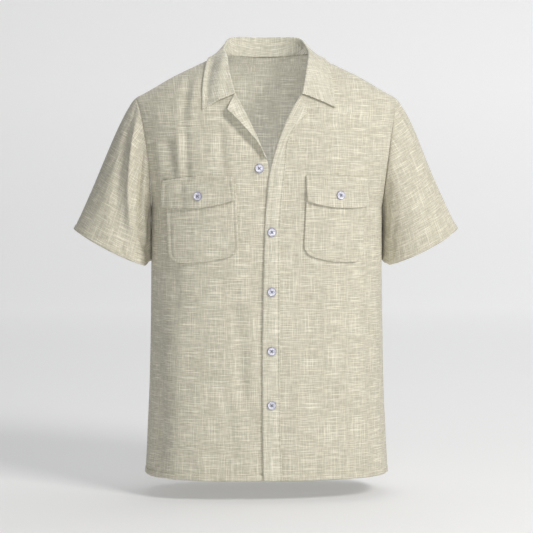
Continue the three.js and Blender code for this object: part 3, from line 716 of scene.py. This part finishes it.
def sleeveMiddle(side, level, face, way):
    sin, cos = np.sin(np.radians(level)), np.cos(np.radians(level))
    t = (1 + sin) / 2
    ends = lambda under, top, p=1: np.stack([
        mix(under[0], top[0], t ** p), 0 * t, mix(under[1], top[1], t)], -1)
    onFront = (face == front)[:, None]
    start = np.where(onFront, bodyPoint(front, level, 1.0), bodyPoint(back, level, 1.0))
    gap = mix(sleeve["seamStart"], 0.2, smooth(-0.2, 1, sin))
    start = start + np.stack([gap, 0 * t, -0.2 * smooth(0, 1, sin)], -1)
    end = ends(sleeve["cuffInner"], sleeve["cuffOuter"])
    end[:, 1] = face * sleeve["cuffDepth"] * cos
    end[:, 2] += sleeve["cuffPull"] * (1 - smooth(0, 0.08, t)) - sleeve["cuffSag"] * cos * cos
    chord = np.linalg.norm(end - start, axis=1, keepdims=True)
    leave = ends(sleeve["leaveUnder"], sleeve["leaveTop"], 0.8)
    leave[:, 1] = face * sleeve["leaveForward"] * cos
    first = start + unit(leave) * chord * mix(0.33, 0.13, t)[:, None]
    arrive = ends(sleeve["arriveUnder"], sleeve["arriveTop"])
    second = end - arrive * chord * mix(0.33, 0.47, t)[:, None]
    w = way[:, None, None]
    v = 1 - w
    points = v ** 3 * start + 3 * w * v ** 2 * first + 3 * w * w * v * second + w ** 3 * end
    return points * np.array([side, 1, 1])


def makeSleeve(name, side, word, shift):
    turn = np.arange(0, 360, sleeve["turnStep"])
    face = np.where(turn <= 180, front, back)
    level = np.where(turn <= 180, 90 - turn, turn - 270)
    way = gradedShares(sleeve["length"], "both", sleeve["grid"]) ** 1.12
    middle = sleeveMiddle(side, level, face, way)
    normal = gridNormals(middle, True)
    centre = middle.mean(axis=1, keepdims=True)
    if np.sum(normal * (middle - centre)) < 0:
        normal = -normal
    girth = np.linalg.norm(np.roll(middle, -1, 1) - middle, axis=-1).sum(1, keepdims=True)
    turns, ways = np.meshgrid(turn, way)
    deep = np.zeros_like(turns)
    for turn0, way0, turn1, way1, width, depth in sleeve[word]:
        t = (ways - way0) / (way1 - way0)
        off = (turns - mix(turn0, turn1, t)) / 360 * girth
        deep += creaseAt(t, off, width, depth, 0.2, 0.25)
    loop = turns / 360 * 2 * np.pi
    sin, cos = np.sin(loop), np.cos(loop)
    wander = sleeve["drift"] * softNoise(3 * cos + 10 + side, 3 * sin + 4 * ways + 20)
    small = sleeve["smallDrift"] * softNoise(8 * cos + 30 + side, 8 * sin + 7 * ways + 40)
    fade = smooth(0, 0.12, ways)
    middle = middle + normal * (fade * (wander + small - deep))[..., None]
    fromArm = runs(middle, 0)
    toCuff = fromArm[-1:] - fromArm
    along = turns / 360 * girth
    width = sleeve["hemWidth"]
    outer = cloth["thick"] / 2 + seamDip(fromArm) + turnedEdge(toCuff, width, sleeve["hemRaise"])
    outer += puckers(along, toCuff, width) + puckers(along, fromArm, 2)
    inner = turnedInside(toCuff, width, sleeve["hemInside"])
    turnEnd = np.append(turn, 360) / 360 * girth.mean()
    grain = np.stack([np.broadcast_to(turnEnd, (len(way), len(turnEnd))) + shift,
                      np.hstack([toCuff, toCuff[:, :1]])], -1)
    stitchAlong(middle + normal * outer[..., None], normal, toCuff, width, 0)
    return clothShell(name, middle, normal, outer, inner, grain, linenBody, ring=True)


sleeveRight = makeSleeve("right_sleeve", -1, "right", 1300)
sleeveLeft = makeSleeve("left_sleeve", 1, "left", 3300)
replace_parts(sleeveRight, "sleeve_right")
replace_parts(sleeveLeft, "sleeve_left")
print("sleeves made")

collar = {
    # from notch to nape: seam (x, y), roll line (x, y, z), outer edge (x, y), fold radius
    "sections": [(61, -100, 59, -106, -71.5, 112, -101.5, 1.2),
                 (70, -75, 67.5, -80, -36, 110, -78, 1.5), (76, -47, 72, -50, -12, 106, -48, 1.7),
                 (78.5, -20, 74.5, -21, -0.5, 101.5, -21, 2),
                 (79, 2, 76, 3, 6.5, 98, 5, 2), (71, 34, 72, 30, 18, 89, 45, 2.2),
                 (44, 62, 60, 54, 29.5, 63, 77, 2.4), (0, 73, 0, 72, 31, 0, 92, 2.4)],
    "length": 520, "stand": 32, "leaf": 45,  # lengths that the points are spread over
    "lean": -3.5, "foot": 1.6, "lift": 2.6, "bulge": 1.8, "standBow": 1.1, "ripple": 1.2,
    "thick": 1.9,  # it has two plies
    "stitch": 6, "edgeRaise": 0.5, "standStitch": 8.5, "standGroove": 1.4, "standGrooveWidth": 1.6,
    # troughs in the leaf: share of the collar's length, distance from its edge, again, width, depth
    "creases": [(0.02, 8, 0.2, 12, 8, 4.0), (0.0, 33, 0.2, 33, 8, -2.5), (0.86, 20, 0.97, 12, 12, 1.0)],
}


# Centripetal curve through points, at shares of its length in sections
def splineAt(points, t):
    points = np.asarray(points, float)
    p = np.vstack([2 * points[0] - points[1], points, 2 * points[-1] - points[-2]])
    at = np.clip(t, 0, 1) * (len(points) - 1)
    i = np.minimum(at.astype(int), len(points) - 2)
    w = (at - i)[:, None]
    p0, p1, p2, p3 = [p[i + k] for k in range(4)]
    d0, d1, d2 = [np.maximum(np.linalg.norm(b - a, axis=1, keepdims=True), 1e-4) ** 0.5
                  for a, b in ((p0, p1), (p1, p2), (p2, p3))]
    m1 = ((p1 - p0) / d0 - (p2 - p0) / (d0 + d1) + (p2 - p1) / d1) * d1
    m2 = ((p2 - p1) / d1 - (p3 - p1) / (d1 + d2) + (p3 - p2) / d2) * d1
    return p1 + m1 * w + (3 * (p2 - p1) - 2 * m1 - m2) * w ** 2 + (2 * (p1 - p2) + m1 + m2) * w ** 3


def makeCollar(name, shift):
    seam, roll, edge, fold = [], [], [], []
    half = len(collar["sections"]) - 1
    for i in range(-half, half + 1):
        side = -1 if i < 0 else 1
        seamX, seamY, rollX, rollY, rollZ, edgeX, edgeY, radius = collar["sections"][half - abs(i)]
        lean = collar["lean"] * float(smooth(0, -90, seamY))
        seam.append(pointFromAbove(side * seamX + lean, seamY, collar["foot"]))
        roll.append((side * rollX + lean, rollY, rollZ))
        edge.append(pointFromAbove(side * edgeX + lean, edgeY, collar["lift"]))
        fold.append((radius, 0, 0))
    t = gradedShares(collar["length"], "both", 3.4)
    foot, top, end = [splineAt(rows, t) for rows in (seam, roll, edge)]
    radius = splineAt(fold, t)[:, :1]
    out, slope = unit((end - top) * np.array([1, 1, 0])), unit(end - top)
    up = unit(out - slope * np.sum(out * slope, 1, keepdims=True))
    centre = top - up * radius
    s = gradedShares(collar["stand"], "start", 1.4)[:-1, None, None]
    stand = mix(foot, centre - slope * radius, s) - out * (collar["standBow"] * np.sin(np.pi * s))
    turn = np.radians(np.linspace(180, 78, 8))[:, None, None]
    bend = centre + radius * (slope * np.cos(turn) + up * np.sin(turn))
    belly = mix(bend[-1], end, 0.4) + up * collar["bulge"]
    q = gradedShares(collar["leaf"], "end", 2.6)[1:, None, None]
    fall = (1 - q) ** 2 * bend[-1] + 2 * q * (1 - q) * belly + q * q * end
    middle = np.concatenate([stand, bend, fall]).transpose(1, 0, 2)
    run = runs(middle, 1)
    down = runs(middle, 0)
    x, y = middle[..., 0], middle[..., 1]
    toEdge = run[:, -1:] - run
    ripple = softNoise(down / 38 + 3, toEdge / 60 + 8) * smooth(45, 8, toEdge)
    normal = gridNormals(middle)
    if np.sum(normal[:, -4] * up) < 0:
        normal = -normal
    dip = np.zeros_like(ripple)
    for share0, far0, share1, far1, width, depth in collar["creases"]:
        way = (down / down[-1:] - share0) / (share1 - share0)
        dip += creaseAt(way, toEdge - mix(far0, far1, way), width, depth, 0.3, 0.2)
    middle = middle + normal * (collar["ripple"] * ripple - dip)[..., None]
    toEnds = np.minimum(down, down[-1:] - down)
    onLeaf = smooth(len(stand) + 6, len(stand) + 14, np.arange(middle.shape[1]))[None, :]
    border = np.minimum(toEdge, np.where(onLeaf > 0.5, toEnds, 99))
    outerSkin = collar["thick"] / 2 + turnedEdge(border, collar["stitch"], collar["edgeRaise"])
    outerSkin += puckers(down, toEdge, collar["stitch"])
    standEnd = run[:, len(stand):len(stand) + 1]
    groove = hump(run - (standEnd - collar["standStitch"]), collar["standGrooveWidth"])
    outerSkin = outerSkin - collar["standGroove"] * groove
    grain = np.stack([x + 0.35 * y + shift, middle[..., 2] * 1.2 + 0.6 * y], -1)
    skin = middle + normal * outerSkin[..., None]
    leaf = slice(len(stand) + 9, -4)
    stitchAlong(skin, normal, toEdge, collar["stitch"], 1, 5)
    stitchAlong(skin, normal, run - standEnd, -collar["standStitch"], 1, 3)
    for fromEnd in (down, down[-1:] - down):
        stitchAlong(skin[:, leaf], normal[:, leaf], fromEnd[:, leaf], collar["stitch"], 0)
    return clothShell(name, middle, normal, outerSkin, collar["thick"] / 2, grain, linenDoubled)


collarPiece = makeCollar("camp_collar", 500)
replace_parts(collarPiece, "collar")
print("collar made")

# Pockets and flaps: distances of the side edges from x = 0, heights of the top and bottom edges at
# their inner end, middle and outer end, and how far the side edges have shifted at the bottom
patches = {
    "right": {
        "side": -1, "outerLift": 3.0,
        "flap": (67, 180, (-211.4, -212, -219), (-252.8, -264.5, -264), (-4.5, -1.5)),
        "pocket": (61, 174, (-224, -224, -228), (-344, -356, -356), (-5, -4.5)),
    },
    "left": {
        "side": 1, "outerLift": 0.8,
        "flap": (58, 163.5, (-210.3, -211, -213.5), (-252.3, -264, -261), (1.5, 0.5)),
        "pocket": (59.5, 160, (-222, -223, -225), (-344, -356, -355), (-5, -4)),
    },
    "pocketCorner": 15, "flapCorner": 0.8, "grid": 2.6, "stitch": 4.6, "edgeRaise": 1.0, "puff": 0.8,
    "flapSag": 1.6, "flapSink": 2.4,  # it hangs free below, and is sewn down along its top
}


def bowed(heights, t):
    inner, middle, outer = heights
    return inner * (1 - t) * (1 - 2 * t) + middle * 4 * t * (1 - t) + outer * t * (2 * t - 1)


# Places on a patch: v from its top, 0, to its bottom, 1, u from its inner edge to its outer one
def patchPlace(shape, corner, u, v, inset=0):
    inner, outer, top, bottom, slant = shape
    span = top[1] - bottom[1]
    inner, outer, corner = inner + inset, outer - inset, max(corner - inset, 0.4)
    rise = mix(span - inset, inset, v)
    near = np.clip(1 - (rise - inset) / corner, 0, 1)
    narrow = corner * (1 - np.sqrt(np.clip(1 - near ** 2, 0, 1)))
    drop = 1 - rise / span
    across = mix(inner + narrow + slant[0] * drop, outer - narrow + slant[1] * drop, u)
    t = (across - shape[0]) / (shape[1] - shape[0])
    return across, mix(bowed(bottom, t), bowed(top, t), rise / span)


def patchOutline(shape, corner, inset, closedTop):
    turn = 1 - np.sin(np.linspace(0, np.pi / 2, 14))
    span = shape[2][1] - shape[3][1]
    low = max(corner - inset, 0.4) / (span - 2 * inset)
    v = np.concatenate([np.linspace(0, 1 - low, 60), 1 - low * turn[1:]])
    one = np.zeros_like(v)
    parts = [(one, v), (np.linspace(0, 1, 60)[1:-1], np.ones(58)), (one + 1, v[::-1])]
    if closedTop:
        parts.append((np.linspace(1, 0, 60)[1:], np.zeros(59)))
    u, v = [np.concatenate(part) for part in zip(*parts)]
    return patchPlace(shape, corner, u, v, inset)


def makePatch(name, given, shape, corner, lift, shift, sag=0.0, sink=0.0):
    side = given["side"]
    span = shape[2][1] - shape[3][1]
    share = corner / span
    upper = gradedShares(span - corner, "start", patches["grid"]) * (1 - share)
    lower = 1 - share * (1 - np.sin(np.linspace(0, np.pi / 2, 13)))
    v = np.concatenate([upper, lower[1:]])[:, None]
    u = gradedShares(shape[1] - shape[0], "both", patches["grid"])[None, :]
    across, z = patchPlace(shape, corner, u, v)
    middle, normal = layerSurface(side * across, z, lift)
    spots = np.stack(patchOutline(shape, corner, 0, True), 1)
    gaps = np.stack([across, z], -1)[:, :, None] - spots
    distance = np.sqrt((gaps ** 2).sum(-1)).min(-1)
    fullness = lambda inset, fall, out: (
        patches["puff"] * smooth(0, 40, inset) + sag * smooth(0.35, 1, fall)
        + given["outerLift"] * smooth(0.75, 1, out) - sink * (1 - smooth(0, 0.22, fall)))
    middle = middle + normal * fullness(distance, v, u)[..., None]
    outer = cloth["thick"] / 2 + turnedEdge(distance, patches["stitch"], patches["edgeRaise"])
    outer = outer + puckers(across + z, distance, patches["stitch"])
    grain = np.stack([side * across + shift, z], -1)
    lineX, lineZ = patchOutline(shape, corner, patches["stitch"], corner < 5)
    line, lineNormal = layerSurface(side * lineX, lineZ, lift)
    t = (lineX - shape[0]) / (shape[1] - shape[0])
    fall = (bowed(shape[2], t) - lineZ) / (bowed(shape[2], t) - bowed(shape[3], t))
    rise = cloth["thick"] / 2 + turnedEdge(patches["stitch"], patches["stitch"], patches["edgeRaise"])
    rise = rise + fullness(patches["stitch"], fall, t)
    stitchLines.append((line + lineNormal * rise[:, None], lineNormal))
    return clothShell(name, middle, normal, outer, cloth["thick"] / 2, grain, linenTrim)


for word, offset in (("right", 60), ("left", 1700)):
    given, lift = patches[word], cloth["layer"]
    pocket = makePatch(word + "_pocket", given, given["pocket"], patches["pocketCorner"], lift, offset)
    flap = makePatch(word + "_flap", given, given["flap"], patches["flapCorner"], lift * 2,
                     offset + 400, patches["flapSag"], patches["flapSink"])
    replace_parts(pocket, "pocket_" + word)
    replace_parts(flap, "flap_" + word)
print("pockets and flaps made")

button = {
    "radius": 7.6, "thick": 2.4, "rimWidth": 1.5, "dish": 0.55, "holeRing": 2.3, "hole": 0.95,
    "sides": 56, "threadRadius": 0.4125, "threadGap": 0.36, "shadedEdgeBand": 1.15, "sharpFrom": 38,
    # name: x, z, layers of cloth below it; a flap's fullness adds 0.4 of a layer
    "places": {
        "button_1": (-21, -198, 0), "button_2": (0, -305.5, 1), "button_3": (0, -406.5, 1),
        "button_4": (0, -507, 1), "button_5": (0, -599, 1),
        "flap_button_right": (-122.5, -244.5, 2.4), "flap_button_left": (115.5, -243, 2.4),
    },
}


def turnedMesh(name, profile, sides):
    angle = np.linspace(0, 2 * np.pi, sides, endpoint=False)
    rings = [[(r * math.cos(a), r * math.sin(a), z) for a in angle] for r, z in profile[1:-1]]
    points = [(0, 0, profile[0][1])] + [p for ring in rings for p in ring] + [(0, 0, profile[-1][1])]
    faces = [(0, 1 + (i + 1) % sides, 1 + i) for i in range(sides)]
    for k in range(len(rings) - 1):
        a, b = 1 + k * sides, 1 + (k + 1) * sides
        faces += [(a + i, a + (i + 1) % sides, b + (i + 1) % sides, b + i) for i in range(sides)]
    last = 1 + (len(rings) - 1) * sides
    faces += [(len(points) - 1, last + i, last + (i + 1) % sides) for i in range(sides)]
    return newMesh(name, points, faces)


def buttonMesh():
    radius, thick, rim, dish = [button[key] for key in ("radius", "thick", "rimWidth", "dish")]
    h = thick / 2
    profile = [(0, -h + 0.25), (radius * 0.55, -h + 0.2), (radius * 0.8, -h), (radius - 0.55, -h + 0.1),
               (radius - 0.12, -h + 0.55), (radius, 0), (radius - 0.12, h - 0.5), (radius - 0.5, h - 0.12),
               (radius - 0.95, h), (radius - rim + 0.1, h - 0.15), (radius - rim - 0.5, h - dish + 0.1),
               (radius - rim - 1.2, h - dish), (2.0, h - dish - 0.05), (0, h - dish - 0.05)]
    blank = addObject("buttonBlank", turnedMesh("buttonBlank", profile, button["sides"]))
    hole, ring = button["hole"], button["holeRing"] * mm
    drill = [(0, -3), (hole, -3), (hole, -1), (hole, 1), (hole, 3), (0, 3)]
    drills = []
    for i in range(4):
        bit = addObject("buttonDrill", turnedMesh("buttonDrill", drill, 18))
        angle = math.radians(45 + 90 * i)
        bit.location = (ring * math.cos(angle), ring * math.sin(angle), 0)
        cut = blank.modifiers.new("hole", "BOOLEAN")
        cut.object, cut.operation, cut.solver = bit, "DIFFERENCE", "EXACT"
        drills.append(bit)
    bpy.context.view_layer.update()
    done = bpy.data.meshes.new_from_object(blank.evaluated_get(bpy.context.evaluated_depsgraph_get()))
    for old in [blank, *drills]:
        bpy.data.objects.remove(old)
    done.polygons.foreach_set("use_smooth", [True] * len(done.polygons))
    done.set_sharp_from_angle(angle=math.radians(button["sharpFrom"]))
    done.materials.append(buttonPearl)
    done.materials.append(buttonEdgeShade)
    # faces round the rim take the darker material: painted shade on the button's edge
    for face in done.polygons:
        if math.hypot(*face.center[:2]) > (radius - button["shadedEdgeBand"]) * mm:
            face.material_index = 1
    return done


# Tube of thread through given points, closed at both ends
def threadTube(path, radius, sides=7):
    path = np.asarray(path, float)
    along = unit(np.gradient(path, axis=0))
    side = unit(np.cross(along, (0.3, 0.2, 1.0)))
    other = np.cross(along, side)
    angle = np.linspace(0, 2 * np.pi, sides, endpoint=False)[None, :, None]
    rings = path[:, None] + radius * (side[:, None] * np.cos(angle) + other[:, None] * np.sin(angle))
    points = np.concatenate([rings.reshape(-1, 3), path[:1], path[-1:]])
    n, m = len(path), sides
    pairs = [(p, (p + 1) % m) for p in range(m)]
    faces = [(a * m + p, a * m + q, (a + 1) * m + q, (a + 1) * m + p)
             for a in range(n - 1) for p, q in pairs]
    faces += [(q, p, n * m) for p, q in pairs]
    faces += [((n - 1) * m + p, (n - 1) * m + q, n * m + 1) for p, q in pairs]
    return points, faces


pearl = buttonMesh()
threads, threadFaces, threadCount = [], [], 0
for name, (x, z, layers) in button["places"].items():
    lift = layers * cloth["layer"] + cloth["thick"] / 2 + button["thick"] / 2 + 0.15
    point, normal = layerSurface(np.array(float(x)), np.array(float(z)), lift)
    turn = Vector(normal).to_track_quat("Z", "Y").to_matrix().to_4x4()
    turned = pearl.copy()
    turned.transform(turn)
    turned.transform(turn.Translation(Vector(point) * mm))
    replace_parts(asPiece(name + "_pearl", turned), name)
    spin = np.array(turn.to_3x3())
    reach, top = button["holeRing"], button["thick"] / 2 - button["dish"]
    for quarter, rise in ((45, 0.5), (135, 0.85)):  # the second pair of threads crosses the first
        ahead = np.array([math.cos(math.radians(quarter)), math.sin(math.radians(quarter)), 0])
        for shift in (-button["threadGap"], button["threadGap"]):
            aside = np.array([-ahead[1], ahead[0], 0]) * shift
            steps = [(-1, -1.3), (-1, top - 0.1), (-0.8, top + 0.3), (0, top + rise), (0.8, top + 0.3),
                     (1, top - 0.1), (1, -1.3)]
            path = [ahead * reach * way + aside + np.array([0, 0, up]) for way, up in steps]
            points, faces = threadTube(path, button["threadRadius"])
            threads.append(points @ spin.T + point)
            threadFaces += [tuple(threadCount + k for k in face) for face in faces]
            threadCount += len(points)
addPiece("button_thread", np.concatenate(threads), threadFaces, buttonThread)
print("buttons made")

stitching = {"pitch": 3.2, "length": 2.3, "radius": 0.27, "sides": 5}


# All seam stitches as one mesh of short spindles that lie in the grooves
def makeStitches(name):
    angle = np.linspace(0, 2 * np.pi, stitching["sides"], endpoint=False)
    shape = [(-0.5, 0.25, -0.35), (-0.3, 1, 0), (0.3, 1, 0), (0.5, 0.25, -0.35)]  # along, radius, sunk
    centres, alongs, normals = [], [], []
    for points, normal in stitchLines:
        run = runs(points, 0)
        at = np.arange(stitching["pitch"] / 2, run[-1], stitching["pitch"])
        pick = lambda rows, where: np.stack([np.interp(where, run, rows[:, k]) for k in range(3)], 1)
        centres.append(pick(points, at))
        alongs.append(unit(pick(points, at + 0.4) - pick(points, at - 0.4)))
        normals.append(pick(normal, at))
    centre, along, normal = [np.concatenate(part) for part in (centres, alongs, normals)]
    normal = unit(normal - along * np.sum(normal * along, 1, keepdims=True))
    across = np.cross(along, normal)
    radius = stitching["radius"]
    rings = []
    for way, wide, sunk in shape:
        middle = centre + along * way * stitching["length"] + normal * (radius * 0.6 + sunk)
        rings.append(np.stack([
            middle + radius * wide * (across * math.cos(a) + normal * math.sin(a)) for a in angle], 1))
    rings = np.stack(rings, 1)
    count, sides = len(centre), stitching["sides"]
    points = rings.reshape(-1, 3)
    one = np.arange(4 * sides).reshape(4, sides)
    after = np.roll(one, -1, 1)
    quads = np.stack([one[:-1], after[:-1], after[1:], one[1:]], -1).reshape(-1, 4)
    base = np.arange(count)[:, None, None] * 4 * sides
    faces = (quads[None] + base).reshape(-1, 4).tolist()
    caps = np.stack([one[0][::-1], one[-1]])
    faces += (caps[None] + base).reshape(-1, sides).tolist()
    print("stitches:", count)
    return addPiece(name, points, faces, seamThread)


makeStitches("seam_stitches")

stageLook = {
    "floor": "#cccccc", "floorZ": -765, "world": "#eef0f4", "worldStrength": 0.26,
    "halfWidth": 4500, "frontY": -5000, "wallHeight": 4500,
    "sweepStart": 4300, "sweepRadius": 900,  # far enough back to leave room for a view from behind
    # glow of the floor and of the wall, painted light with no lamp behind it that lifts the shadows on
    # them, between two distances, and how much stronger it is for each metre to the right
    "floorGlow": 0.265, "wallGlow": 0.405, "glowFrom": 0.6, "glowTo": 4.4, "glowSlant": 0.04,
}


def makeStage():
    across = np.linspace(-stageLook["halfWidth"], stageLook["halfWidth"], 3)
    start, radius = stageLook["sweepStart"], stageLook["sweepRadius"]
    bend = [(start + radius * math.sin(a), radius - radius * math.cos(a))
            for a in np.linspace(0.15, math.pi / 2, 12)]
    profile = [(stageLook["frontY"], 0), (start, 0), *bend, (start + radius, stageLook["wallHeight"])]
    points = [(x, y, stageLook["floorZ"] + z) for y, z in profile for x in across]
    faces = [(r * 3 + c, r * 3 + c + 1, (r + 1) * 3 + c + 1, (r + 1) * 3 + c)
             for r in range(len(profile) - 1) for c in range(2)]
    mesh = newMesh("studioFloor", points, faces)
    # The sweep glows by itself: painted light that brightens the floor and the wall and lifts the shirt's
    # shadow
    material, tree = newMaterial("studioSweepPaintedLight")
    place = addNode(tree, "TexCoord").outputs["Object"]
    axes = addNode(tree, "SeparateXYZ", None, {"Vector": place})
    glow = addNode(tree, "MapRange", {
        "From Min": stageLook["glowFrom"], "From Max": stageLook["glowTo"],
        "To Min": stageLook["floorGlow"], "To Max": stageLook["wallGlow"],
    }, {"Value": axes.outputs["Y"]}).outputs[0]
    glow = addNode(tree, "Math", {
        "operation": "MULTIPLY_ADD", 1: stageLook["glowSlant"],
    }, {0: axes.outputs["X"], 2: glow}).outputs[0]
    surface = addNode(tree, "BsdfPrincipled", {
        "Base Color": colour(stageLook["floor"]), "Roughness": 0.9, "Emission Color": colour("#ffffff"),
    }, {"Emission Strength": glow})
    addNode(tree, "OutputMaterial", None, {"Surface": surface.outputs[0]})
    mesh.materials.append(material)
    floor = addObject("studioFloor", mesh)


makeStage()
world = bpy.data.worlds.new("studioFill")
world.use_nodes = True
background = world.node_tree.nodes["Background"].inputs
background["Color"].default_value = colour(stageLook["world"])
background["Strength"].default_value = stageLook["worldStrength"]
bpy.context.scene.world = world

# Softboxes, and a small lamp inside the shirt that lifts the neck's shadow: name, place, where it
# points, size of its square, watts, colour
lights = [
    ("keyRight", (2.4, -2.95, 2.2), (0, 0, -0.35), 1.3, 131, "#fffdf9"),
    ("frontFill", (-0.2, -3.7, 0.0), (0, 0, -0.25), 1.0, 29, "#fdfeff"),
    ("overhead", (0.4, 0.9, 2.4), (0, 0.6, -0.7), 2.2, 26, "#ffffff"),
    ("insideLift", (0.03, -0.05, -0.27), (-0.01, 0.1, -0.05), 0.14, 0.3, "#e9efff"),
]
for name, place, aim, size, watts, tint in lights:
    lamp = bpy.data.lights.new(name, "AREA")
    lamp.shape, lamp.size, lamp.size_y = "RECTANGLE", size, size
    lamp.energy, lamp.color = watts, colour(tint)[:3]
    holder = addObject(name, lamp)
    holder.visible_camera = False
    holder.location = place
    holder.rotation_euler = (Vector(aim) - Vector(place)).to_track_quat("-Z", "Y").to_euler()

view = {"azimuth": -4, "elevation": 3, "distance": 3.5, "aim": (0, 0, -0.370), "lens": 135}
lens = bpy.data.cameras.new("camera")
lens.lens, lens.sensor_width, lens.clip_end = view["lens"], 36, 50
camera = addObject("camera", lens)
turned, raised = math.radians(view["azimuth"]), math.radians(view["elevation"])
away = Vector((math.sin(turned) * math.cos(raised), -math.cos(turned) * math.cos(raised),
               math.sin(raised)))
camera.location = Vector(view["aim"]) + away * view["distance"]
camera.rotation_euler = (-away).to_track_quat("-Z", "Y").to_euler()
bpy.context.scene.camera = camera
bpy.context.scene.view_settings.view_transform = "Standard"
print("stage, lights and camera set")
